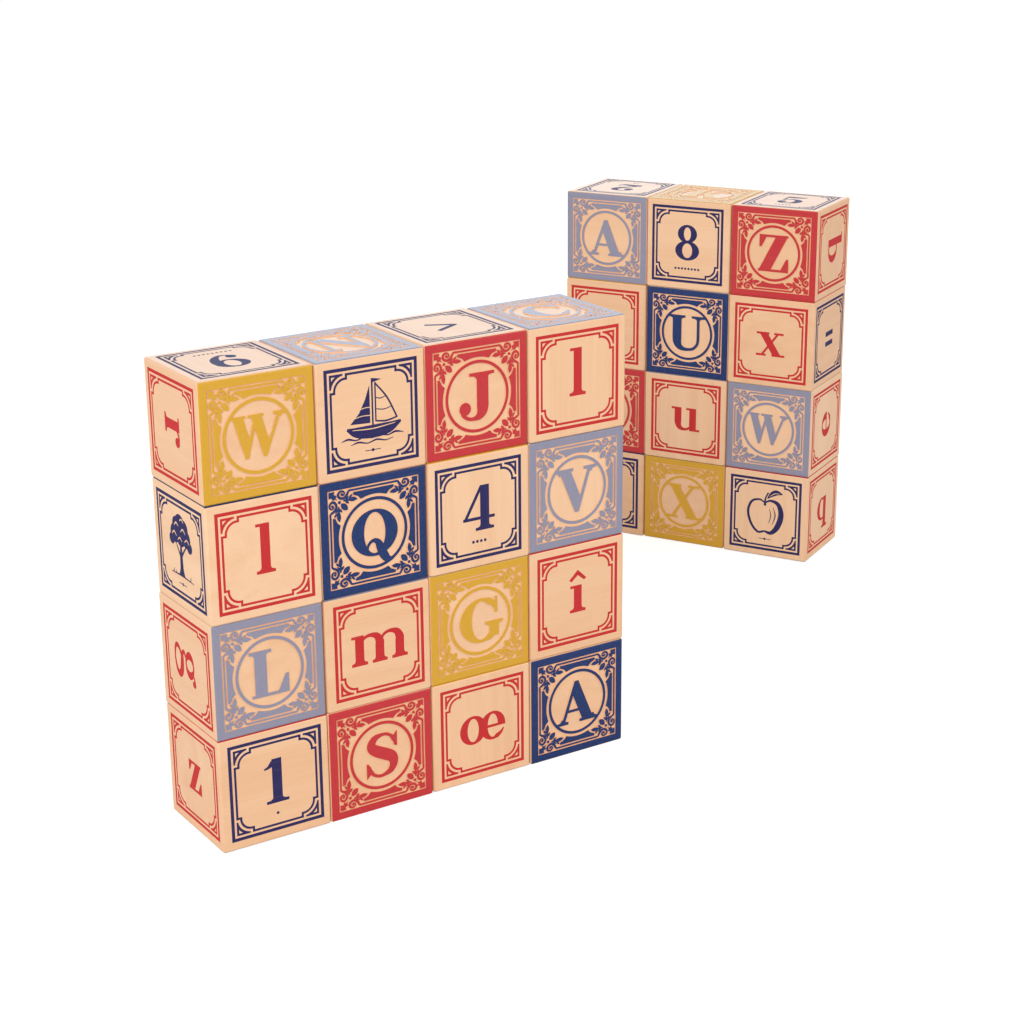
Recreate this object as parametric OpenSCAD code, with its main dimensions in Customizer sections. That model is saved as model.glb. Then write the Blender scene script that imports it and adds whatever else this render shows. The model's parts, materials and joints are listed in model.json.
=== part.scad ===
// A set of wooden alphabet blocks, stacked by hand as two walls on a table.
// Every block is sawn from one piece of wood, and its edges are eased.
// Two opposite sides are carved: a capital stands raised in a round field,
// inside a ring and two square rules. The other four sides are flat.
// The origin is on the table, under the middle of the whole stack.

/* [Blocks] */
// Side of one block
block_side = 44.45; // [41.5:0.05:60]
// Radius of the eased edges
edge_radius = 0.8; // [0.4:0.1:2]

/* [Carved sides] */
// Depth of the carving below the inked land
carve_depth = 0.4; // [0.2:0.1:1.5]
// Height of the raised capitals
letter_height = 18.1; // [12:0.1:20]
// Outer diameter of the raised ring around the capital
ring_diameter = 27.6; // [24:0.1:31]
// Width of the raised ring
ring_width = 1.2; // [0.6:0.1:1.6]
// Width of the round channel outside the ring
channel_width = 1.1; // [0.4:0.1:1.4]
// Outer side of the square rules
rule_side = 37.8; // [37:0.1:40]
// Width of one carved rule line
rule_width = 0.55; // [0.3:0.05:0.8]
// Land left between the two carved rule lines
rule_gap = 0.75; // [0.3:0.05:1]

/* [Walls] */
// Gap between neighbouring columns
column_gap = 0.5; // [0.4:0.1:3]
// How far a block may sit off true, across its wall
depth_slip = 0.35; // [0:0.05:0.6]
// How far a block may sit off true, along its wall
along_slip = 0.08; // [0:0.02:0.1]
// Distance of the rear wall's middle to the right of the front wall's middle
rear_right = 278; // [260:1:400]
// Distance of the rear wall's middle behind the front wall's middle
rear_back = 167; // [160:1:300]
// Turn of the rear wall about the vertical, in degrees
rear_angle = -61.5; // [-80:0.5:-40]

/* [Hidden] */
$fn = 48;
wood = "#EFC49C";
// Cuts run past the faces that they open by this much
overrun = 1;
// Successive blocks slip in directions this many degrees apart
slip_angle = 137.5;

// Capitals on the nearer carved side of each block: one string for each row,
// from the bottom row up, read from left to right
front_letters = ["BSOA", "LMGI", "EQDV", "WNJC"];
rear_letters = ["PXT", "RYW", "FUH", "AKZ"];
alphabet = "ABCDEFGHIJKLMNOPQRSTUVWXYZ";

// Strokes of the capitals, as shares of the capital's height: the letter, its width,
// and its strokes, each of a kind that stroke_points() below draws
stem_share = 0.27;
hair_share = 0.065;
head_share = 1 - hair_share;
bracket_share = 0.07;
wedge_share = 0.3;
capital_shares = [
    ["A", 1.06, [
        ["patch", [[0.97, 0], [0.685, 0], [0.375, 0.76], [0.46, 1], [0.56, 1]]],
        ["slant", 0.14, 0, 0.5, 1, 0.085], ["beam", 0.24, 0.76, 0.27, hair_share],
        ["slab", 0.145, 0, 0.15, 0.085], ["slab", 0.825, 0, 0.235, 0.3]]],
    ["B", 0.89, [
        ["post", 0.24, 0, 1, stem_share], ["beam", 0.03, 0.54, 0, hair_share],
        ["beam", 0.03, 0.52, head_share, hair_share], ["beam", 0.24, 0.54, 0.51, hair_share],
        ["bowl", 0.5, 0.755, 0.32, 0.245, 0.26, hair_share, -90, 90],
        ["bowl", 0.51, 0.285, 0.38, 0.285, stem_share, hair_share, -90, 90]]],
    ["C", 0.97, [
        ["bowl", 0.54, 0.5, 0.53, 0.5, 0.29, hair_share, 58, 302], ["post", 0.91, 0.62, 0.985, 0.065],
        ["pen", [[0.67, 0.94, 0.105], [0.745, 0.9, 0.15], [0.83, 0.83, 0.11], [0.89, 0.74, 0.08],
            [0.91, 0.64, 0.065]]],
        ["pen", [[0.67, 0.06, 0.105], [0.745, 0.1, 0.15], [0.835, 0.165, 0.105], [0.9, 0.24, 0.06],
            [0.94, 0.32, 0.035]]]]],
    ["D", 0.97, [
        ["post", 0.24, 0, 1, stem_share], ["beam", 0.03, 0.45, 0, hair_share],
        ["beam", 0.03, 0.45, head_share, hair_share],
        ["bowl", 0.44, 0.5, 0.53, 0.5, 0.29, hair_share, -90, 90]]],
    ["E", 0.9, [
        ["post", 0.24, 0, 1, stem_share], ["beam", 0.03, 0.84, head_share, hair_share],
        ["beam", 0.03, 0.88, 0, hair_share], ["beam", 0.24, 0.58, 0.49, hair_share],
        ["post", 0.57, 0.38, 0.66, 0.06],
        ["wedge", 0.84, head_share, 0.2, -0.26], ["wedge", 0.88, hair_share, 0.22, 0.29]]],
    ["F", 0.86, [
        ["post", 0.24, 0, 1, stem_share], ["beam", 0.03, 0.84, head_share, hair_share],
        ["beam", 0.24, 0.58, 0.47, hair_share], ["post", 0.57, 0.36, 0.64, 0.06],
        ["wedge", 0.84, head_share, 0.2, -0.28], ["slab", 0.24, 0, 0.25, stem_share]]],
    ["G", 1.04, [
        ["bowl", 0.54, 0.5, 0.53, 0.5, 0.29, hair_share, 58, 302], ["post", 0.91, 0.62, 0.985, 0.065],
        ["pen", [[0.67, 0.94, 0.105], [0.745, 0.9, 0.15], [0.83, 0.83, 0.11], [0.89, 0.74, 0.08],
            [0.91, 0.64, 0.065]]],
        ["pen", [[0.67, 0.06, 0.105], [0.745, 0.1, 0.15], [0.825, 0.16, 0.14], [0.86, 0.24, 0.19]]],
        ["post", 0.86, 0.1, 0.42, 0.24], ["slab", 0.86, 0.38, 0.22, 0.24]]],
    ["H", 1.12, [
        ["post", 0.24, 0, 1, stem_share], ["post", 0.88, 0, 1, stem_share],
        ["beam", 0.24, 0.88, 0.48, hair_share],
        ["slab", 0.24, 0, 0.25, stem_share], ["slab", 0.24, head_share, 0.25, stem_share],
        ["slab", 0.88, 0, 0.25, stem_share], ["slab", 0.88, head_share, 0.25, stem_share]]],
    ["I", 0.48, [
        ["post", 0.24, 0, 1, stem_share],
        ["slab", 0.24, 0, 0.25, stem_share], ["slab", 0.24, head_share, 0.25, stem_share]]],
    ["J", 0.87, [
        ["post", 0.565, 0.3, 1, 0.28], ["slab", 0.55, head_share, 0.3, 0.28], ["dot", 0.14, 0.265, 0.14],
        ["pen", [[0.565, 0.4, 0.28], [0.565, 0.29, 0.28], [0.545, 0.17, 0.25], [0.47, 0.075, 0.17],
            [0.35, 0.035, 0.085], [0.22, 0.05, 0.075], [0.1, 0.13, 0.08], [0.05, 0.24, 0.07]]]]],
    ["K", 1.08, [
        ["post", 0.24, 0, 1, stem_share], ["slant", 0.34, 0.36, 0.83, 1, 0.095],
        ["patch", [[0.72, 0], [1.02, 0], [0.585, 0.655], [0.42, 0.5]]],
        ["slab", 0.24, 0, 0.235, stem_share], ["slab", 0.24, head_share, 0.235, stem_share],
        ["beam", 0.66, 1.02, head_share, hair_share], ["beam", 0.64, 1.08, 0, hair_share]]],
    ["L", 0.88, [
        ["post", 0.24, 0, 1, stem_share], ["slab", 0.24, head_share, 0.25, stem_share],
        ["beam", 0.03, 0.86, 0, hair_share], ["wedge", 0.86, hair_share, 0.24, 0.34]]],
    ["M", 1.3, [
        ["post", 0.155, 0, 1, 0.085], ["post", 1.065, 0, 1, stem_share],
        ["patch", [[0.115, 1], [0.395, 1], [0.7, 0.24], [0.61, 0], [0.52, 0]]],
        ["patch", [[0.915, 1], [1, 1], [0.61, 0], [0.525, 0]]],
        ["slab", 0.155, 0, 0.165, 0.085], ["slab", 1.065, 0, 0.235, stem_share],
        ["beam", -0.01, 0.38, head_share, hair_share], ["beam", 0.93, 1.29, head_share, hair_share]]],
    ["N", 1.06, [
        ["post", 0.16, 0, 1, 0.085], ["post", 0.9, 0, 1, 0.085],
        ["patch", [[0.09, 1], [0.37, 1], [0.94, 0.22], [0.94, 0], [0.83, 0]]],
        ["slab", 0.16, 0, 0.17, 0.085], ["slab", 0.9, head_share, 0.165, 0.085],
        ["beam", -0.01, 0.36, head_share, hair_share]]],
    ["O", 1.05, [
        ["bowl", 0.525, 0.5, 0.535, 0.5, 0.29, hair_share, -90, 90],
        ["bowl", 0.525, 0.5, 0.535, 0.5, 0.29, hair_share, 90, 270]]],
    ["P", 0.88, [
        ["post", 0.24, 0, 1, stem_share], ["slab", 0.24, 0, 0.25, stem_share],
        ["beam", 0.03, 0.52, head_share, hair_share], ["beam", 0.24, 0.52, 0.43, hair_share],
        ["bowl", 0.49, 0.715, 0.385, 0.285, stem_share, hair_share, -90, 90]]],
    ["Q", 1.05, [
        ["bowl", 0.525, 0.5, 0.535, 0.5, 0.29, hair_share, -90, 90],
        ["bowl", 0.525, 0.5, 0.535, 0.5, 0.29, hair_share, 90, 270],
        ["pen", [[0.34, 0.12, 0.05], [0.37, 0.25, 0.065], [0.47, 0.335, 0.075], [0.58, 0.3, 0.13],
            [0.65, 0.17, 0.19], [0.71, 0.02, 0.2], [0.8, -0.1, 0.16], [0.9, -0.12, 0.09],
            [0.98, -0.05, 0.03]]]]],
    ["R", 1.03, [
        ["post", 0.24, 0, 1, stem_share], ["slab", 0.24, 0, 0.25, stem_share],
        ["beam", 0.03, 0.52, head_share, hair_share], ["beam", 0.24, 0.52, 0.47, hair_share],
        ["bowl", 0.49, 0.735, 0.375, 0.265, stem_share, hair_share, -90, 90],
        ["slant", 0.825, 0, 0.535, 0.5, 0.29], ["beam", 0.7, 1.03, 0, hair_share]]],
    ["S", 0.86, [
        ["pen", [[0.76, 0.66, 0.06], [0.71, 0.83, 0.07], [0.58, 0.94, 0.07], [0.44, 0.96, 0.08],
            [0.27, 0.91, 0.15], [0.185, 0.79, 0.2], [0.22, 0.68, 0.235], [0.37, 0.58, 0.255],
            [0.53, 0.5, 0.26], [0.67, 0.41, 0.245], [0.71, 0.27, 0.2], [0.64, 0.12, 0.15],
            [0.48, 0.045, 0.085], [0.34, 0.04, 0.07], [0.2, 0.12, 0.07], [0.12, 0.3, 0.06]]],
        ["patch", [[0.8, 0.985], [0.8, 0.64], [0.76, 0.64], [0.62, 0.88], [0.72, 0.9]]],
        ["patch", [[0.06, 0.015], [0.06, 0.37], [0.1, 0.37], [0.25, 0.12], [0.14, 0.1]]]]],
    ["T", 0.96, [
        ["post", 0.48, 0, 1, stem_share], ["slab", 0.48, 0, 0.26, stem_share],
        ["beam", 0.02, 0.94, head_share, hair_share],
        ["wedge", 0.02, head_share, -0.18, -0.28], ["wedge", 0.94, head_share, 0.18, -0.28]]],
    ["U", 1.08, [
        ["post", 0.24, 0.4, 1, stem_share], ["post", 0.88, 0.4, 1, 0.085],
        ["slab", 0.24, head_share, 0.25, stem_share], ["slab", 0.88, head_share, 0.2, 0.085],
        ["pen", [[0.24, 0.48, stem_share], [0.24, 0.36, stem_share], [0.25, 0.23, 0.25], [0.31, 0.11, 0.19],
            [0.43, 0.045, 0.12], [0.57, 0.035, 0.085], [0.73, 0.07, 0.08], [0.85, 0.2, 0.08],
            [0.88, 0.36, 0.085], [0.88, 0.48, 0.085]]]]],
    ["V", 1.04, [
        ["patch", [[0.05, 1], [0.335, 1], [0.65, 0.245], [0.57, 0], [0.47, 0]]],
        ["patch", [[0.815, 1], [0.9, 1], [0.57, 0], [0.485, 0]]],
        ["slab", 0.2, head_share, 0.225, 0.3], ["slab", 0.86, head_share, 0.17, 0.085]]],
    ["W", 1.36, [
        ["patch", [[0.05, 1], [0.3, 1], [0.5, 0.31], [0.42, 0], [0.34, 0]]],
        ["patch", [[0.6, 1], [0.68, 1], [0.42, 0], [0.34, 0]]],
        ["patch", [[0.5, 1], [0.75, 1], [0.97, 0.25], [0.87, 0], [0.79, 0]]],
        ["patch", [[1.18, 1], [1.26, 1], [0.87, 0], [0.79, 0]]],
        ["beam", -0.03, 0.37, head_share, hair_share], ["beam", 0.43, 0.82, head_share, hair_share],
        ["slab", 1.22, head_share, 0.155, 0.08]]],
    ["X", 1.04, [
        ["slant", 0.81, 0, 0.21, 1, 0.29], ["slant", 0.15, 0, 0.81, 1, 0.085],
        ["beam", -0.01, 0.43, head_share, hair_share], ["beam", 0.66, 0.99, head_share, hair_share],
        ["beam", -0.01, 0.32, 0, hair_share], ["beam", 0.6, 1.04, 0, hair_share]]],
    ["Y", 1.02, [
        ["post", 0.51, 0, 0.46, stem_share], ["slab", 0.51, 0, 0.24, stem_share],
        ["patch", [[0.04, 1], [0.325, 1], [0.65, 0.38], [0.375, 0.38]]],
        ["patch", [[0.815, 1], [0.9, 1], [0.645, 0.38], [0.56, 0.38]]],
        ["beam", -0.03, 0.39, head_share, hair_share], ["slab", 0.86, head_share, 0.16, 0.085]]],
    ["Z", 0.92, [
        ["beam", 0.05, 0.87, head_share, hair_share], ["beam", 0.03, 0.89, 0, hair_share],
        ["patch", [[0.03, 0], [0.36, 0], [0.87, 1], [0.54, 1]]],
        ["wedge", 0.05, head_share, -0.2, -0.27], ["wedge", 0.89, hair_share, 0.22, 0.3]]]
];
// Strokes that only touch are joined over this share of the capital's height
join_share = 0.004;
// Straight steps in half a bowl, between two points of a pen stroke, and in a bracket
bowl_steps = 20;
pen_steps = 5;
bracket_steps = 4;

// Each wall's name, letters, place of its middle on the table, and turn
walls = [
    ["front", front_letters, [0, 0], 0],
    ["rear", rear_letters, [rear_right, rear_back], rear_angle]
];

// Every block as its wall, its column from the left and its row from the bottom
blocks = [
    for (wall = walls)
        for (row = [0 : len(wall[1]) - 1])
            for (column = [0 : len(wall[1][row]) - 1])
                [wall, column, row]
];

function node_name(block) = str(block[0][0], "_block_c", block[1] + 1, "_r", block[2] + 1);

// The far carved side has the letter half the alphabet further on
function near_letter(block) = block[0][1][block[2]][block[1]];
function far_letter(block) =
    let (place = search(near_letter(block), alphabet)[0], count = len(alphabet))
    alphabet[(place + count / 2) % count];

// Carved sides alternate over a wall like the squares of a chessboard
function carved_in_front(block) = (block[1] + block[2]) % 2 == 1;

// A point of the wall's own plan, turned and moved to its place on the table
function on_table(wall, point) =
    let (c = cos(wall[3]), s = sin(wall[3]))
    wall[2] + [c * point.x - s * point.y, s * point.x + c * point.y];

// Middle of a block on the table: its place in the wall and its own small slip
function block_middle(block) =
    let (
        wall = block[0],
        columns = len(wall[1][0]),
        rows = len(wall[1]),
        slip = slip_angle * (block[1] * rows + block[2]) + wall[3],
        along = (block[1] - (columns - 1) / 2) * (block_side + column_gap)
    )
    on_table(wall, [along + along_slip * cos(slip), depth_slip * sin(slip)]);

// Half the width that a turned block with eased corners takes up along X or Y
function half_reach(block) =
    let (angle = block[0][3])
    (block_side / 2 - edge_radius) * (abs(cos(angle)) + abs(sin(angle))) + edge_radius;

lowest = [for (axis = [0, 1]) min([for (b = blocks) block_middle(b)[axis] - half_reach(b)])];
highest = [for (axis = [0, 1]) max([for (b = blocks) block_middle(b)[axis] + half_reach(b)])];
stack_middle = (lowest + highest) / 2;

// A rectangle from its sides: a post, a beam or the like
function box_points(left, right, bottom, top) =
    [[left, bottom], [right, bottom], [right, top], [left, top]];

// A serif with hollow brackets up to a stem of the given width; heads hang down
function slab_points(x, y, half, width) =
    let (
        curve = [
            for (i = [0 : bracket_steps])
                let (t = i / bracket_steps)
                [
                    half * (1 - t) * (1 - t) + width / 2 * t * (2 - t),
                    hair_share + bracket_share * t * t
                ]
        ],
        right = concat([[half, 0]], curve),
        left = [for (i = [len(right) - 1 : -1 : 0]) [-right[i].x, right[i].y]],
        hangs = y > bracket_share
    )
    [for (p = concat(right, left)) [x + p.x, hangs ? y + hair_share - p.y : y + p.y]];

// Part of an oval ring, thick at its sides and thin at its top and bottom
function bowl_points(x, y, rx, ry, thick, thin, from, to) =
    let (angles = [for (i = [0 : bowl_steps]) from + (to - from) * i / bowl_steps])
    concat(
        [for (a = angles) [x + rx * cos(a), y + ry * sin(a)]],
        [
            for (i = [bowl_steps : -1 : 0])
                [x + (rx - thick) * cos(angles[i]), y + (ry - thin) * sin(angles[i])]
        ]
    );

// A smooth curve through points, each with the pen's width as its third value
function curve_point(p, i, t) =
    let (
        b = p[i],
        c = p[i + 1],
        a = i > 0 ? p[i - 1] : 2 * b - c,
        d = i + 2 < len(p) ? p[i + 2] : 2 * c - b
    )
    (2 * b + (c - a) * t + (2 * a - 5 * b + 4 * c - d) * t * t + (3 * b - a - 3 * c + d) * t * t * t) / 2;

function pen_points(p) =
    let (
        path = [
            for (i = [0 : len(p) - 2], k = [0 : pen_steps - 1]) curve_point(p, i, k / pen_steps),
            p[len(p) - 1]
        ],
        last = len(path) - 1,
        side = [
            for (i = [0 : last])
                let (along = path[min(i + 1, last)] - path[max(i - 1, 0)])
                [-along.y, along.x] / norm([along.x, along.y]) * path[i].z / 2
        ]
    )
    concat(
        [for (i = [0 : last]) [path[i].x, path[i].y] + side[i]],
        [for (i = [last : -1 : 0]) [path[i].x, path[i].y] - side[i]]
    );

function dot_points(x, y, radius) =
    [
        for (i = [1 : 2 * bowl_steps])
            let (angle = 180 * i / bowl_steps)
            [x + radius * cos(angle), y + radius * sin(angle)]
    ];

function stroke_points(s) =
    s[0] == "post" ? box_points(s[1] - s[4] / 2, s[1] + s[4] / 2, s[2], s[3]) :
    s[0] == "beam" ? box_points(s[1], s[2], s[3], s[3] + s[4]) :
    s[0] == "slant" ? [
        [s[1] - s[5] / 2, s[2]], [s[1] + s[5] / 2, s[2]], [s[3] + s[5] / 2, s[4]], [s[3] - s[5] / 2, s[4]]
    ] :
    s[0] == "wedge" ? [
        [s[1], s[2]], [s[1], s[2] + s[4]], [s[1] - wedge_share * s[3], s[2] + s[4]], [s[1] - s[3], s[2]]
    ] :
    s[0] == "slab" ? slab_points(s[1], s[2], s[3], s[4]) :
    s[0] == "bowl" ? bowl_points(s[1], s[2], s[3], s[4], s[5], s[6], s[7], s[8]) :
    s[0] == "pen" ? pen_points(s[1]) :
    s[0] == "dot" ? dot_points(s[1], s[2], s[3]) :
    s[1];

module eased_square() {
    flat = block_side - 2 * edge_radius;
    square([flat, block_side], center = true);
    square([block_side, flat], center = true);
    for (x = [-1, 1], y = [-1, 1])
        translate([x, y] * flat / 2) circle(edge_radius);
}

module eased_bar() {
    linear_extrude(block_side + 2 * overrun, center = true) eased_square();
}

// A cube with rounded edges, as three crossing bars share it
module plain_block() {
    intersection() {
        eased_bar();
        rotate([90, 0, 0]) eased_bar();
        rotate([0, 90, 0]) eased_bar();
    }
}

// A wide capital is made smaller until its corners just reach the ring
module capital(letter) {
    shape = [for (entry = capital_shares) if (entry[0] == letter) entry][0];
    width_share = shape[1];
    height = min(letter_height, (ring_diameter - ring_width) / norm([width_share, 1]));
    scale(height)
        translate([-width_share, -1] / 2)
            offset(delta = -join_share)
                offset(delta = join_share)
                    for (s = shape[2])
                        polygon(stroke_points(s));
}

module square_line(side, width) {
    difference() {
        square(side, center = true);
        square(side - 2 * width, center = true);
    }
}

module round_line(outer_diameter, width) {
    difference() {
        circle(d = outer_diameter);
        circle(d = outer_diameter - 2 * width);
    }
}

// Everything that is cut away from one carved side
module carving(letter) {
    difference() {
        circle(d = ring_diameter - 2 * ring_width);
        capital(letter);
    }
    round_line(ring_diameter + 2 * channel_width, channel_width);
    square_line(rule_side, rule_width);
    square_line(rule_side - 2 * (rule_width + rule_gap), rule_width);
}

module carving_cut(letter, turn) {
    rotate(turn)
        translate([0, 0, block_side / 2 - carve_depth])
            linear_extrude(carve_depth + overrun) carving(letter);
}

module letter_block(block) {
    turns = carved_in_front(block) ? [[90, 0, 0], [90, 0, 180]] : [[0, 0, 0], [180, 0, 0]];
    color(wood)
        difference() {
            plain_block();
            carving_cut(near_letter(block), turns[0]);
            carving_cut(far_letter(block), turns[1]);
        }
}

module place_in_wall(block) {
    middle = block_middle(block) - stack_middle;
    translate([middle.x, middle.y, (block[2] + 1 / 2) * block_side])
        rotate(block[0][3]) children();
}

for (b = blocks)
    place_in_wall(b) letter_block(b);
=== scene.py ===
"""Twenty-eight alphabet blocks of printed basswood, stacked as two walls four blocks high.

Each block is one closed mesh that stands for its CAD node: a cube with rounded edges, two
carved faces whose inked lands stand above a cut ground, and four flat printed faces.
Lengths are in millimetres until block_piece() writes a mesh in metres. The floor and the lamps
are given in metres.
"""
import json
import math

import bpy
import numpy as np
from mathutils import Matrix, Vector
from mathutils.geometry import delaunay_2d_cdt


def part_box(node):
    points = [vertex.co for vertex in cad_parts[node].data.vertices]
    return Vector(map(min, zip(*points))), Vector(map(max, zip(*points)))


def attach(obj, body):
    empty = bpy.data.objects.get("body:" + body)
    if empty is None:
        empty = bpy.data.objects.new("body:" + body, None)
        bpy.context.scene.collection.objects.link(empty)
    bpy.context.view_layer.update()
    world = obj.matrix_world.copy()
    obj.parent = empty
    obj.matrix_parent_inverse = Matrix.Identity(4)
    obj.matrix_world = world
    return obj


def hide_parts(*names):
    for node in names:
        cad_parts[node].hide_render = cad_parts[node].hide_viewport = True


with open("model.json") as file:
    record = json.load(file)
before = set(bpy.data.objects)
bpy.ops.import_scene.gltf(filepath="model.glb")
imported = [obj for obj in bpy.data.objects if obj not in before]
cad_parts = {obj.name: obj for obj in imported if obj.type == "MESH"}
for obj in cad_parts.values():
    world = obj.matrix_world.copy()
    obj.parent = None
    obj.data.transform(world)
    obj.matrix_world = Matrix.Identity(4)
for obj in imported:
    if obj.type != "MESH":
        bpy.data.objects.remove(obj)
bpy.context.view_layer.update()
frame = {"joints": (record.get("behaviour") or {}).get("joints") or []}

# Sizes of the block and of its carved face, the same as the part's own
MM = 0.001
EDGE_RADIUS = 0.8
CARVE_DEPTH = 0.4
LETTER_HEIGHT = 18.1
RING_DIAMETER = 27.6
RING_WIDTH = 1.2
CHANNEL_WIDTH = 1.1
RULE_SIDE = 37.8
RULE_WIDTH = 0.55
RULE_GAP = 0.75

# Sizes of the printed face: a heavy rule, a fine line that steps in at the corners, a motif
PRINT_SIDE = 38.1
PRINT_RULE = 1.3
PRINT_GAP = 0.8
PRINT_LINE = 0.9
PRINT_CORNER = 6.4
PRINT_STEP = 1.5
PRINT_BAND = 1.0
SMALL_HEIGHT = 18.8
SMALL_BASE = -6.4
FIGURE_HEIGHT = 17.8
FIGURE_RISE = 1.1
SIGN_HEIGHT = 20.0
PICTURE_HEIGHT = 24.0
PICTURE_WIDTH = 25.92
PICTURE_RISE = 1.6
PIP_DROP = 12.0
PIP_RADIUS = 0.6
PIP_PITCH = 1.75
TAIL_DROP = 13.0
TAIL_HALF = 3.2
TAIL_WIDTH = 0.32
TAIL_DOT = 0.6
PRINT_SLIP = 0.45

# Sizes of the panels at the middles of a carved face's sides, and of its inner rules
PANEL_HALF = 8.4
PANEL_EDGE = 1.0
PANEL_SHOULDER = 6.5
PANEL_DROP = 1.8
PANEL_ARCH = 5.3
RULE_HALF = 9.2

# Ink of a carved face runs over its rounded edges to where they lean this much its way; an edge
# is rounded in this many steps
RIM_INK = 0.6
RIM_STEPS = 4

# Points this near to one another are one point, and so are points that agree to these decimals
WELD = 0.001
DECIMALS = 3

# Strokes of the letters, as shares of the letter's height: the capitals' stem and hairline, the
# underside of a serif at a stem's top, the sweep of a serif, the blunt share of an arm's beak,
# and the small letters' own stem and hairline
STEM = 0.27
HAIR = 0.065
HEAD = 1 - HAIR
BRACKET = 0.07
WEDGE = 0.3
TRUNK = 0.2
THIN = 0.06

# Degrees between the corners of a curve; a pen's steps from knot to knot and its least width;
# the points of a serif's sweep, and the level above which a serif hangs from the top of its stem
ARC_STEP = 9.0
PEN_STEPS = 5
PEN_LEAST = 0.004
SWEEP_POINTS = 5
HEAD_LEVEL = 0.3

# Degrees between the corners of the ring, of a pip and of a bud in the scrolls; the points of the
# arcs in a panel's hollow, in the fine line's corner and in the piece that follows it
RING_STEP = 5
PIP_STEP = 20
BUD_STEP = 40
HOLLOW_POINTS = 9
LINE_POINTS = 13
PIECE_POINTS = 9

# Paints of a face's triangles, and the four quarter turns
BARE = "wood"
INK = "ink"
GROUND = "ground"
QUARTERS = [np.linalg.matrix_power(np.array([(0, 1), (-1, 0)]), turns) for turns in range(4)]

# Seed of what differs from block to block, and the reach in the grain within which blocks are cut
SEED = 28
GRAIN_REACH = 400

# Sizes of the wood's streaks, bands and flecks along the grain and in the two ways across it; the
# height of its ridges, in metres; its colours
STREAK_SIZE = (26, 0.9, 0.9)
BAND_SIZE = (150, 7, 11)
FLECK_SIZE = (3.2, 0.34, 0.34)
RIDGE_HEIGHT = 0.00006
WOOD_LIGHT = "#F4CEAA"
WOOD_DARK = "#E6B48A"

# Brightness of the floor and of the room; the floor's size and level
FLOOR_PLAIN = 0.75
FLOOR_SHADE = 0.55
FLOOR_GLOW = 0.72
ROOM_LIGHT = 0.52
FLOOR_HALF = 6.0
FLOOR_LEVEL = -0.0002

# The photo's camera: its azimuth, tilt and roll in degrees, its place, and its focal length
CAMERA_ANGLES = (-33.021, 18.469, -0.509)
CAMERA_PLACE = (-496.95, -766.36, 361.6)
CAMERA_LENS = 74.103


def post(x, low, high, width):
    """An upright bar: the rectangle of that width about x, from low to high."""
    half = width / 2
    return np.array([(x - half, low), (x + half, low), (x + half, high), (x - half, high)])


def slant(x0, y0, x1, y1, width):
    """A leaning bar: the parallelogram whose level ends, that wide, lie about the two points."""
    half = width / 2
    return np.array([(x0 - half, y0), (x0 + half, y0), (x1 + half, y1), (x1 - half, y1)])


def beam(x0, x1, y, height):
    """A level bar: the rectangle from x0 to x1 that stands on y."""
    return np.array([(x0, y), (x1, y), (x1, y + height), (x0, y + height)])


def slab(x, y, half, width):
    """A serif: a hairline foot whose upper edge sweeps up to the stem along a parabola.

    At share t of the sweep it lies half (1 - t)^2 + width/2 t (2 - t) from the stem's middle
    and HAIR + BRACKET t^2 above the foot. A serif at a stem's top hangs the other way up.
    """
    t = np.linspace(0, 1, SWEEP_POINTS)
    away = half * (1 - t) ** 2 + width / 2 * t * (2 - t)
    rise = HAIR + BRACKET * t ** 2
    right = np.column_stack([away, rise])
    left = np.column_stack([-away, rise])[::-1]
    points = np.vstack([[(-half, 0), (half, 0)], right, left])
    if y > HEAD_LEVEL:
        points[:, 1] = HAIR - points[:, 1]
    return points + (x, y)


def wedge(x, y, run, rise):
    """The beak at an arm's tip: it tapers from the tip back along the arm."""
    return np.array([(x, y), (x, y + rise), (x - WEDGE * run, y + rise), (x - run, y)])


def bowl(x, y, rx, ry, thick, thin, start, end):
    """Part of the band between two ellipses about (x, y), thick at its sides and thin at its top."""
    turn = np.radians(np.linspace(start, end, int(abs(end - start) / ARC_STEP) + 3))
    outer = np.column_stack([x + rx * np.cos(turn), y + ry * np.sin(turn)])
    inner = np.column_stack([x + (rx - thick) * np.cos(turn), y + (ry - thin) * np.sin(turn)])
    return np.vstack([outer, inner[::-1]])


def dot(x, y, radius, step=2 * ARC_STEP):
    """A disc about (x, y), with a corner every so many degrees."""
    turn = np.radians(np.arange(0, 360, step))
    return np.column_stack([x + radius * np.cos(turn), y + radius * np.sin(turn)])


def pen(knots):
    """A stroke of changing width along the Catmull-Rom curve through (x, y, width) knots.

    Its edges lie half the width to either side of the curve, along the curve's normal.
    """
    k = np.array(knots, float)
    k = np.vstack([2 * k[0] - k[1], k, 2 * k[-1] - k[-2]])
    a, b, c, d = (k[i:len(k) - 3 + i, None] for i in range(4))
    t = np.linspace(0, 1, PEN_STEPS, endpoint=False)[None, :, None]
    bend = 2 * a - 5 * b + 4 * c - d
    curve = (2 * b + (c - a) * t + bend * t ** 2 + (3 * b - a - 3 * c + d) * t ** 3) / 2
    curve = np.vstack([curve.reshape(-1, 3), k[-2]])
    along = np.gradient(curve[:, :2], axis=0)
    across = np.column_stack([-along[:, 1], along[:, 0]])
    half = np.maximum(curve[:, 2], PEN_LEAST) / 2
    across *= (half / np.linalg.norm(along, axis=1))[:, None]
    return np.vstack([curve[:, :2] + across, (curve[:, :2] - across)[::-1]])


def patch(corners):
    """A filled shape given by its corners."""
    return np.array(corners, float)


def bare(stroke, *sizes):
    """A stroke that leaves the wood bare."""
    return stroke(*sizes), BARE


def drawn(strokes):
    """The polygons of a list of strokes, each with its paint: ink, unless it is left bare."""
    return [stroke if isinstance(stroke, tuple) else (stroke, INK) for stroke in strokes]


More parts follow.
